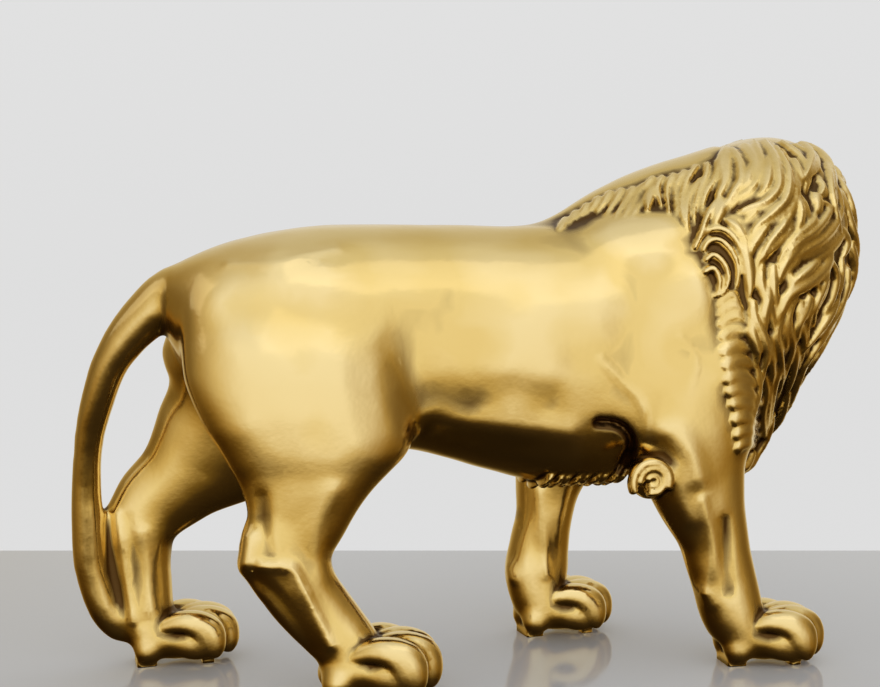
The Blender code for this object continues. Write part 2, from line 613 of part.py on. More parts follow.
def locks(bm, skin, mane_points):
    """Strands round the rest of the mane, as close as LOCK_SPACING allows, the highest first."""
    kept = []
    for point in sorted(mane_points, key=lambda p: (round(-p.z, 3), round(p.x, 3), round(p.y, 3))):
        spot, normal, _, gap = skin.find_nearest(point)
        if gap > 0.008 * HEIGHT or not is_hair(spot) or faces_viewer(spot, normal):
            continue
        if any(crowded(spot - other, way) for other, way in kept):
            continue
        kept.append((spot, flow(spot, normal)))
        forward = max(0.34, min(1.0, (spot.x / HEIGHT - 0.14) / 0.34))
        points, normals = lock_path(skin, spot, LOCK_LENGTH * forward)
        lock(bm, points, normals, LOCK_WIDTH * forward ** 0.4, LOCK_THICK, LOCK_LIFT)


def skin_at(skin, x, hand, z):
    """The skin's point and normal beside (x, z) on one flank, or nothing where the ray misses."""
    start = Vector((x, hand * 0.6, z)) * HEIGHT
    spot, normal, _, _ = skin.ray_cast(start, Vector((0, -hand, 0)))
    return spot, normal


def curl(bm, skin, x, z, radius, hand, rings=14):
    """A comma of hair laid on the flank: it rises, bends over to the rear and tucks in below."""
    points, normals = [], []
    for i in range(rings):
        t = i / (rings - 1)
        angle = math.radians(-20 + 250 * t)
        reach = radius * (1 - 0.45 * t)
        spot, normal = skin_at(skin, x + reach * math.cos(angle), hand, z + reach * math.sin(angle))
        if spot is None:
            return
        points.append(spot / HEIGHT)
        normals.append(normal)
    lock(bm, np.array(points), np.array(normals), CURL_THICK * 1.2, CURL_THICK * 1.4, 0.004)


def curls(bm, skin):
    """The curls down the far shoulder, the round one on the near elbow, and the fringe under the breast."""
    for x, z, radius in CURLS:
        curl(bm, skin, x, z, radius, 1)
        curl(bm, skin, x, z, radius * 0.45, 1)
    x, y, z, radius = ELBOW_CURL
    angles = np.radians(np.linspace(120, -230, 18))
    reach = radius * np.linspace(1.0, 0.55, 18)
    ring = np.stack([x + reach * np.cos(angles), np.full(18, y), z + reach * np.sin(angles)], 1)
    bar(bm, np.column_stack([ring, np.full(18, 0.010), np.full(18, 0.013)]), 30, 10)
    blob(bm, ELBOW_BUTTON, (0.036, 0.030, 0.036))
    for at in np.linspace(*FRINGE):
        for row, height in FRINGE_ROWS.items():
            blob(bm, (at, row, height), (0.010, 0.030, 0.024), (0, 24, 0))


def clay_body():
    """The smooth masses fused into one skin."""
    bm = bmesh.new()
    torso(bm)
    limb(bm, NEAR_HIND, -1, THIGH_LEVEL)
    limb(bm, FAR_HIND, 1)
    limb(bm, NEAR_FORE, -1)
    limb(bm, FAR_FORE, 1)
    muscles(bm)
    mane_body(bm)
    tail(bm)
    return melted(fused(mesh_object("lion", bm), BODY_GRAIN, BODY_SOFTEN), MELT_ROUNDS)


def mane_skin_points():
    """Evenly spread points on the mane's own body, as places where locks may start."""
    bm = bmesh.new()
    mane_body(bm)
    helper = fused(mesh_object("mane_guide", bm), 0.016, 4)
    points = [v.co.copy() for v in helper.data.vertices]
    bpy.data.objects.remove(helper)
    return points


def thinned(obj):
    """The faces thinned to TRIANGLES, most of them kept where the form bends most."""
    thin = obj.modifiers.new("Thin", "DECIMATE")
    thin.ratio = TRIANGLES / (2 * len(obj.data.polygons))
    graph = bpy.context.evaluated_depsgraph_get()
    mesh = bpy.data.meshes.new_from_object(obj.evaluated_get(graph))
    obj.modifiers.clear()
    obj.data = mesh


def grounded(obj):
    """The pads cut flat where they meet the ground."""
    bm = bmesh.new()
    bm.from_mesh(obj.data)
    everything = bm.verts[:] + bm.edges[:] + bm.faces[:]
    cut = bmesh.ops.bisect_plane(
        bm, geom=everything, dist=1e-6, plane_co=(0, 0, 0), plane_no=(0, 0, -1), clear_outer=True
    )
    rim = [e for e in cut["geom_cut"] if isinstance(e, bmesh.types.BMEdge)]
    bmesh.ops.holes_fill(bm, edges=rim)
    bmesh.ops.triangulate(bm, faces=bm.faces)
    bmesh.ops.recalc_face_normals(bm, faces=bm.faces)
    bm.to_mesh(obj.data)
    bm.free()


def centre(obj):
    """The middle of the statue's box is moved over the origin."""
    corners = np.array([v.co for v in obj.data.vertices])
    middle = (corners.min(0) + corners.max(0)) / 2
    obj.data.transform(Matrix.Translation((-middle[0], -middle[1], 0)))


def gold():
    material = bpy.data.materials.new("polished_brass")
    material.use_nodes = True
    shader = material.node_tree.nodes["Principled BSDF"]
    shader.inputs["Base Color"].default_value = (0.83, 0.60, 0.24, 1)
    shader.inputs["Metallic"].default_value = 1.0
    shader.inputs["Roughness"].default_value = 0.25
    return material


def build():
    for old in list(bpy.data.objects):
        bpy.data.objects.remove(old)
    lion = clay_body()
    skin = BVHTree.FromObject(lion, bpy.context.evaluated_depsgraph_get())
    bm = bmesh.new()
    bm.from_mesh(lion.data)
    locks(bm, skin, mane_skin_points())
    placed_locks(bm, skin)
    curls(bm, skin)
    face(bm)
    for x, hand, yaw, size in PAWS.values():
        paw(bm, x, hand, yaw, size)
    lugs(bm)
    bm.to_mesh(lion.data)
    bm.free()
    fused(lion, FINE_GRAIN, FINE_SOFTEN)
    thinned(lion)
    grounded(lion)
    centre(lion)
    lion.data.shade_smooth()
    lion.data.set_sharp_from_angle(angle=math.radians(50))
    lion.data.materials.clear()
    lion.data.materials.append(gold())
    return lion


build()
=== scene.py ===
# Walking lion cast in brass: the finished casting, its polish, the floor, the lights and the camera.
import math

import bmesh
import bpy
import numpy as np
from mathutils import Matrix, Vector, noise
from mathutils.bvhtree import BVHTree


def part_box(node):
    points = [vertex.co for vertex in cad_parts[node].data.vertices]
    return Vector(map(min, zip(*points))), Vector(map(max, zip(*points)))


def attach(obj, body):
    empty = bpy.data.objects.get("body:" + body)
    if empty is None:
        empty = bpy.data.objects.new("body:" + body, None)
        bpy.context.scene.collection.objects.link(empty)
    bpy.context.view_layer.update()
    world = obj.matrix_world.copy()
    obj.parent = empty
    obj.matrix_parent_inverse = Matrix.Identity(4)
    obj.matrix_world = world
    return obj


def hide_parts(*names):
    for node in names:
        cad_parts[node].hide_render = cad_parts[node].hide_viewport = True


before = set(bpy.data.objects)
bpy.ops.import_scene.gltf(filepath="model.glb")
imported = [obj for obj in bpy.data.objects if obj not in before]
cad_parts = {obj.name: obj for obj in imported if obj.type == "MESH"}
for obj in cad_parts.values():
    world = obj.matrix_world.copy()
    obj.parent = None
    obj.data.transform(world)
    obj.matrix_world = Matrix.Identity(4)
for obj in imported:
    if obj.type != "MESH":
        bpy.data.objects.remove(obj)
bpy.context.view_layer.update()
print("stage: frame loaded")

statue = {
    "height": 1.25,  # metres, soles to crown; every place below is a share of it
    "bodyGrain": 0.0050,  # voxel of the smooth body
    "bodySoften": 40,
    "fineGrain": 0.0034,  # voxel of the finished casting
    "fineSoften": 2,
    "triangles": 192000,
    "stance": 0.140,  # each paw's distance from the middle plane
    "beside": 0.6,  # outside the skin on either side
}
height = statue["height"]


# Clay: bars and eggs that are fused by voxels
def through(values, count):
    values = np.array(values, float)
    at = np.linspace(0, len(values) - 1, count)
    first = np.clip(at.astype(int), 0, len(values) - 2)
    f = (at - first)[:, None]
    ends = np.vstack([2 * values[0] - values[1], values, 2 * values[-1] - values[-2]])
    a, b, c, d = (ends[first + k] for k in range(4))
    return 0.5 * (2 * b + (c - a) * f + (2 * a - 5 * b + 4 * c - d) * f**2 + (3 * b - a - 3 * c + d) * f**3)


def rounded(angle, sides):  # a unit outline: 2 is an ellipse, more is squarer
    c, s = math.cos(angle), math.sin(angle)
    power = 2 / sides
    return math.copysign(abs(c) ** power, c), math.copysign(abs(s) ** power, s)


def addLump(clay, lump):
    mesh = bpy.data.meshes.new("lump")
    lump.to_mesh(mesh)
    lump.free()
    clay.from_mesh(mesh)
    bpy.data.meshes.remove(mesh)


def sweep(clay, points, across, along, widths, depths, around=24, sides=2.0, taper=0.0):
    rings = len(points) - 1
    ball = bmesh.new()
    bmesh.ops.create_uvsphere(ball, u_segments=around, v_segments=rings, radius=1.0)
    for vert in ball.verts:
        k = round(math.acos(max(-1.0, min(1.0, vert.co.z))) / math.pi * rings)
        if k in (0, rings):
            vert.co = Vector(points[k]) * height
            continue
        c, s = rounded(math.atan2(vert.co.y, vert.co.x), sides)
        c *= 1 - taper * max(0.0, -s) ** 1.5
        vert.co = Vector(points[k] + across[k] * (widths[k] * c) + along[k] * (depths[k] * s)) * height
    addLump(clay, ball)


def framesAlong(points, side):
    run = np.gradient(points, axis=0)
    run /= np.linalg.norm(run, axis=1)[:, None]
    across = np.array(side, float) - run * (run @ np.array(side, float))[:, None]
    across /= np.linalg.norm(across, axis=1)[:, None]
    return across, np.cross(run, across)


# a bar's stations are x, y, z, half width and half depth, and its rings lie flat above the level
def bar(clay, stations, rings, around=24, sides=2.0, level=None, side=(0, 1, 0)):
    rows = through(stations, rings)
    across, along = framesAlong(rows[:, :3], side)
    if level is not None:
        flat = np.clip((rows[:, 2:3] - level) / limbs["levelBlend"], 0, 1)
        along = along * (1 - flat) + np.array((1.0, 0.0, 0.0)) * flat
    sweep(clay, rows[:, :3], across, along, rows[:, 3], rows[:, 4], around, sides)


def egg(clay, centre, radii, turn=(0, 0, 0), base=None):
    spin = Matrix.Identity(4)
    for axis, angle in zip("XYZ", turn):
        spin = Matrix.Rotation(math.radians(angle), 4, axis) @ spin
    place = Matrix.Translation(Vector(centre)) @ spin @ Matrix.Diagonal((*radii, 1))
    ball = bmesh.new()
    whole = Matrix.Scale(height, 4) @ (base or Matrix.Identity(4)) @ place
    bmesh.ops.create_uvsphere(ball, u_segments=28, v_segments=18, radius=1.0, matrix=whole)
    addLump(clay, ball)


def meshObject(name, clay):
    mesh = bpy.data.meshes.new(name)
    bmesh.ops.recalc_face_normals(clay, faces=clay.faces)
    clay.to_mesh(mesh)
    clay.free()
    made = bpy.data.objects.new(name, mesh)
    bpy.context.scene.collection.objects.link(made)
    return made


def bake(thing):  # the modifiers' result becomes the mesh
    graph = bpy.context.evaluated_depsgraph_get()
    mesh = bpy.data.meshes.new_from_object(thing.evaluated_get(graph))
    thing.modifiers.clear()
    old = thing.data
    thing.data = mesh
    bpy.data.meshes.remove(old)


def fuse(thing, grain, passes):
    remesh = thing.modifiers.new("fuse", "REMESH")
    remesh.mode = "VOXEL"
    remesh.voxel_size = grain * height
    remesh.adaptivity = 0
    if passes:
        soften = thing.modifiers.new("soften", "SMOOTH")
        soften.factor = 0.5
        soften.iterations = passes
    bake(thing)


# Body
body = {
    "sides": 2.5,
    # x, middle height, half width, half height, from the rump to the breast
    "torso": [
        (-0.572, 0.672, 0.045, 0.040),
        (-0.545, 0.655, 0.090, 0.085),
        (-0.490, 0.643, 0.128, 0.125),
        (-0.420, 0.630, 0.152, 0.159),
        (-0.320, 0.619, 0.160, 0.188),
        (-0.220, 0.612, 0.155, 0.200),
        (-0.120, 0.605, 0.152, 0.207),
        (0.000, 0.587, 0.167, 0.225),
        (0.100, 0.574, 0.176, 0.239),
        (0.200, 0.576, 0.176, 0.248),
        (0.310, 0.587, 0.165, 0.243),
        (0.410, 0.596, 0.145, 0.215),
        (0.490, 0.590, 0.112, 0.165),
        (0.540, 0.590, 0.060, 0.080),
    ],
    # x, y, z, radius, from the rump down to the heel of the far hind leg
    "tail": [
        (-0.480, 0.000, 0.690, 0.050),
        (-0.545, 0.002, 0.688, 0.050),
        (-0.603, 0.010, 0.645, 0.043),
        (-0.656, 0.025, 0.576, 0.034),
        (-0.684, 0.048, 0.500, 0.030),
        (-0.700, 0.075, 0.425, 0.027),
        (-0.706, 0.098, 0.345, 0.027),
        (-0.705, 0.112, 0.265, 0.030),
        (-0.700, 0.124, 0.188, 0.031),
        (-0.677, 0.131, 0.112, 0.031),
        (-0.650, 0.136, 0.068, 0.026),
        (-0.630, 0.140, 0.060, 0.010),
    ],
}
# Each limb: x, share of the stance, z, half width across, half depth along the limb's own bend
limbs = {
    "nearHind": [
        (-0.370, 0.55, 0.690, 0.055, 0.130),
        (-0.365, 0.62, 0.620, 0.082, 0.180),
        (-0.350, 0.72, 0.540, 0.088, 0.196),
        (-0.335, 0.82, 0.470, 0.080, 0.184),
        (-0.325, 0.89, 0.425, 0.069, 0.166),
        (-0.332, 0.92, 0.382, 0.058, 0.134),
        (-0.343, 0.95, 0.345, 0.051, 0.107),
        (-0.357, 0.97, 0.305, 0.044, 0.089),
        (-0.382, 0.98, 0.255, 0.042, 0.079),
        (-0.357, 1.00, 0.190, 0.040, 0.066),
        (-0.314, 1.00, 0.132, 0.040, 0.060),
        (-0.275, 1.00, 0.086, 0.046, 0.054),
        (-0.250, 1.00, 0.056, 0.046, 0.046),
    ],
    "farHind": [
        (-0.370, 0.55, 0.690, 0.055, 0.130),
        (-0.375, 0.62, 0.620, 0.082, 0.178),
        (-0.392, 0.72, 0.530, 0.088, 0.188),
        (-0.430, 0.82, 0.450, 0.078, 0.163),
        (-0.487, 0.90, 0.392, 0.062, 0.126),
        (-0.541, 0.94, 0.340, 0.050, 0.088),
        (-0.587, 0.97, 0.298, 0.044, 0.077),
        (-0.614, 0.98, 0.252, 0.042, 0.067),
        (-0.617, 1.00, 0.200, 0.040, 0.062),
        (-0.612, 1.00, 0.145, 0.040, 0.058),
        (-0.605, 1.00, 0.090, 0.044, 0.054),
        (-0.590, 1.00, 0.050, 0.046, 0.048),
    ],
    "nearFore": [
        (0.330, 0.70, 0.700, 0.045, 0.100),
        (0.345, 0.80, 0.620, 0.066, 0.142),
        (0.360, 0.86, 0.530, 0.075, 0.140),
        (0.368, 0.90, 0.440, 0.070, 0.122),
        (0.370, 0.94, 0.370, 0.060, 0.104),
        (0.386, 0.97, 0.305, 0.053, 0.085),
        (0.405, 0.98, 0.250, 0.048, 0.070),
        (0.418, 1.00, 0.197, 0.044, 0.064),
        (0.433, 1.00, 0.145, 0.045, 0.062),
        (0.446, 1.00, 0.100, 0.048, 0.060),
        (0.464, 1.00, 0.055, 0.048, 0.052),
    ],
    "farFore": [
        (0.330, 0.70, 0.700, 0.045, 0.100),
        (0.325, 0.80, 0.620, 0.066, 0.140),
        (0.300, 0.86, 0.530, 0.075, 0.138),
        (0.255, 0.90, 0.440, 0.070, 0.118),
        (0.205, 0.94, 0.365, 0.060, 0.090),
        (0.185, 0.97, 0.300, 0.053, 0.069),
        (0.177, 0.98, 0.240, 0.048, 0.058),
        (0.168, 1.00, 0.180, 0.045, 0.062),
        (0.162, 1.00, 0.130, 0.047, 0.066),
        (0.164, 1.00, 0.085, 0.048, 0.058),
        (0.172, 1.00, 0.050, 0.048, 0.052),
    ],
    "sides": 2.2,
    "thighLevel": 0.26,  # the near thigh's rings lie flat above this height
    "levelBlend": 0.06,
}
# Muscles: centre, radii, turn in degrees
muscles = {
    "pairs": [
        ((0.335, 0.118, 0.640), (0.105, 0.068, 0.150), (0, 20, 0)),  # shoulder
        ((0.300, 0.078, 0.752), (0.175, 0.086, 0.098), (0, -6, 0)),  # top of the shoulder
        ((0.250, 0.130, 0.480), (0.075, 0.050, 0.105), (0, -38, 0)),  # upper arm
        ((0.060, 0.090, 0.560), (0.170, 0.088, 0.170), (0, 0, 0)),  # ribs
        ((-0.340, 0.095, 0.690), (0.120, 0.066, 0.085), (0, 12, 0)),  # hip
        ((-0.470, 0.085, 0.640), (0.080, 0.060, 0.095), (0, 0, 0)),  # haunch
    ],
    "single": [
        ((-0.262, -0.115, 0.440), (0.070, 0.058, 0.080), (0, 35, 0)),  # near knee
        ((-0.275, 0.110, 0.430), (0.090, 0.055, 0.070), (0, -20, 0)),  # far knee
        ((-0.175, 0, 0.461), (0.110, 0.105, 0.050), (0, 8, 0)),  # groin
        ((-0.440, -0.138, 0.237), (0.025, 0.030, 0.027), (0, -20, 0)),  # near hock
        ((-0.655, 0.137, 0.270), (0.028, 0.030, 0.034), (0, 0, 0)),  # far hock
    ],
}
# Melting of the trunk: where it starts and over how much, and how often and how strongly
melting = {
    "above": (0.40, 0.12),
    "ahead": (-0.57, 0.08),
    "behind": (0.46, 0.10),
    "rounds": 110,
    "pull": 0.6,
}


def melt(thing):  # runs the masses of the trunk into one another, and leaves the limbs alone
    mesh = thing.data
    co, _ = readMesh(mesh)
    a, b = edgeEnds(mesh)
    count = np.bincount(np.r_[a, b], minlength=len(co))[:, None]
    x, z = co[:, 0] / height, co[:, 2] / height
    foot, rear, front = melting["above"], melting["ahead"], melting["behind"]
    share = np.clip((z - foot[0]) / foot[1], 0, 1)
    share = share * np.clip((x - rear[0]) / rear[1], 0, 1) * np.clip((front[0] - x) / front[1], 0, 1)
    for _ in range(melting["rounds"]):
        total = [np.bincount(np.r_[a, b], co[np.r_[b, a], k], len(co)) for k in range(3)]
        co += melting["pull"] * share[:, None] * (np.stack(total, 1) / count - co)
    mesh.vertices.foreach_set("co", co.ravel())
    mesh.update()


def addTorso(clay):
    rows = through([(x, 0, z, w, h) for x, z, w, h in body["torso"]], 60)
    up = np.tile((0.0, 0.0, 1.0), (60, 1))
    left = np.tile((0.0, 1.0, 0.0), (60, 1))
    sweep(clay, rows[:, :3], left, up, rows[:, 3], rows[:, 4], 48, body["sides"])


def addLimb(clay, stations, hand, level=None):
    rows = [(x, hand * y * statue["stance"], z, w, d) for x, y, z, w, d in stations]
    bar(clay, rows, 60, 32, limbs["sides"], level)


def addMuscles(clay):
    for hand in (-1, 1):
        for (x, y, z), radii, turn in muscles["pairs"]:
            egg(clay, (x, hand * y, z), radii, turn)
    for centre, radii, turn in muscles["single"]:
        egg(clay, centre, radii, turn)


def addTail(clay):
    bar(clay, [(x, y, z, r, r) for x, y, z, r in body["tail"]], 80, 20)


# Mane
mane = {
    # x, y, z, turn and tilt of each ring in degrees, half width, half height
    "rings": [
        (0.380, 0.000, 0.600, 0, 18, 0.130, 0.200),
        (0.408, 0.000, 0.615, 0, 19, 0.176, 0.268),
        (0.450, 0.000, 0.632, 0, 21, 0.186, 0.284),
        (0.500, 0.004, 0.675, 5, 22, 0.187, 0.269),
        (0.540, 0.012, 0.704, 12, 20, 0.186, 0.261),
        (0.576, 0.030, 0.722, 24, 15, 0.180, 0.262),
        (0.611, 0.058, 0.740, 38, 9, 0.173, 0.257),
        (0.640, 0.088, 0.757, 49, 4, 0.166, 0.241),
        (0.664, 0.122, 0.757, 54, 0, 0.147, 0.227),
        (0.682, 0.152, 0.753, 54, 0, 0.118, 0.188),
        (0.692, 0.172, 0.757, 54, 0, 0.066, 0.107),
    ],
    "taper": 0.55,  # how much narrower it grows towards its tip under the chin
    "crest": [
        (0.105, 0, 0.790, 0.014, 0.022),
        (0.165, 0, 0.810, 0.036, 0.036),
        (0.240, 0, 0.833, 0.062, 0.055),
        (0.340, 0, 0.851, 0.086, 0.079),
        (0.430, 0, 0.864, 0.104, 0.092),
        (0.520, 0, 0.884, 0.110, 0.096),
    ],
    "bib": [
        (0.520, 0.010, 0.640, 0.130, 0.105),
        (0.496, 0.004, 0.520, 0.106, 0.070),
        (0.488, 0.000, 0.430, 0.086, 0.052),
        (0.500, 0.000, 0.375, 0.070, 0.048),
        (0.510, 0.000, 0.345, 0.050, 0.038),
    ],
    "brow": ((0.742, 0.050, 0.892), (0.038, 0.040, 0.040), (0, 20, 0)),  # the bulge over the near ear
    "sides": 2.2,
    "spacing": 0.044,  # from one lock to the next beside it
    "step": 0.100,  # and to the next below it
    "length": 0.190,
    "width": 0.023,
    "thick": 0.024,
    "lift": 0.014,
    "swing": 42,  # degrees that the hair swings to each side as it falls
    "wave": 0.290,  # height of one whole swing
    "strands": (-0.40, 0.40),  # strands side by side in a lock, in half widths
    "ruff": {
        "count": 18,
        "radius": 0.116,
        "ahead": 0.030,
        "length": 0.130,
        "width": 0.021,
        "thick": 0.015,
        "lift": 0.004,
    },
    "hair": {
        "face": (-0.06, 0.08),  # where it starts to lean out from the face, and over how much
        "crown": (0.62, 0.08),  # x, y that it falls from
        "high": (0.84, 0.14),
        "fall": (-0.10, 0, -1),
        "spread": 5.0,
        "drift": 2.2,  # how the swings shift along the lion
        "calm": 0.5,  # how much less it swings by the face
    },
    # no lock starts in the face's circle or on the smooth crest
    "clear": {
        "ahead": 0.02,
        "middle": -0.005,
        "circle": 0.112,
        "crest": 0.66,
        "sides": (-0.12, 0.090),
        "foot": 0.78,
    },
    "guide": (0.016, 4),  # voxel and softening of the shape that the starts are taken from
    "near": 0.008,  # how near the skin a start lies
    "rear": (0.14, 0.34),  # x where the locks are shortest, and over how much they grow
    "least": 0.34,
    "slim": 0.4,
    "vary": (0.85, 1.15),
}
lock = {
    "leaf": (0.10, 0.75, 0.8),  # where its swell starts, how early it is and how full
    "strand": 0.66,  # a strand's share of the lock's width
    "lower": 0.25,  # how much lower the second strand is
    "sunk": 0.35,  # share of its thickness that lies in the skin
    "late": 1.3,  # how late it lifts off
    "edge": 0.6,
}
head = {
    "skull": (0.700, 0.150, 0.795),
    "turn": 54,  # degrees to the lion's left
    "drop": 6,  # degrees that the muzzle points down
}


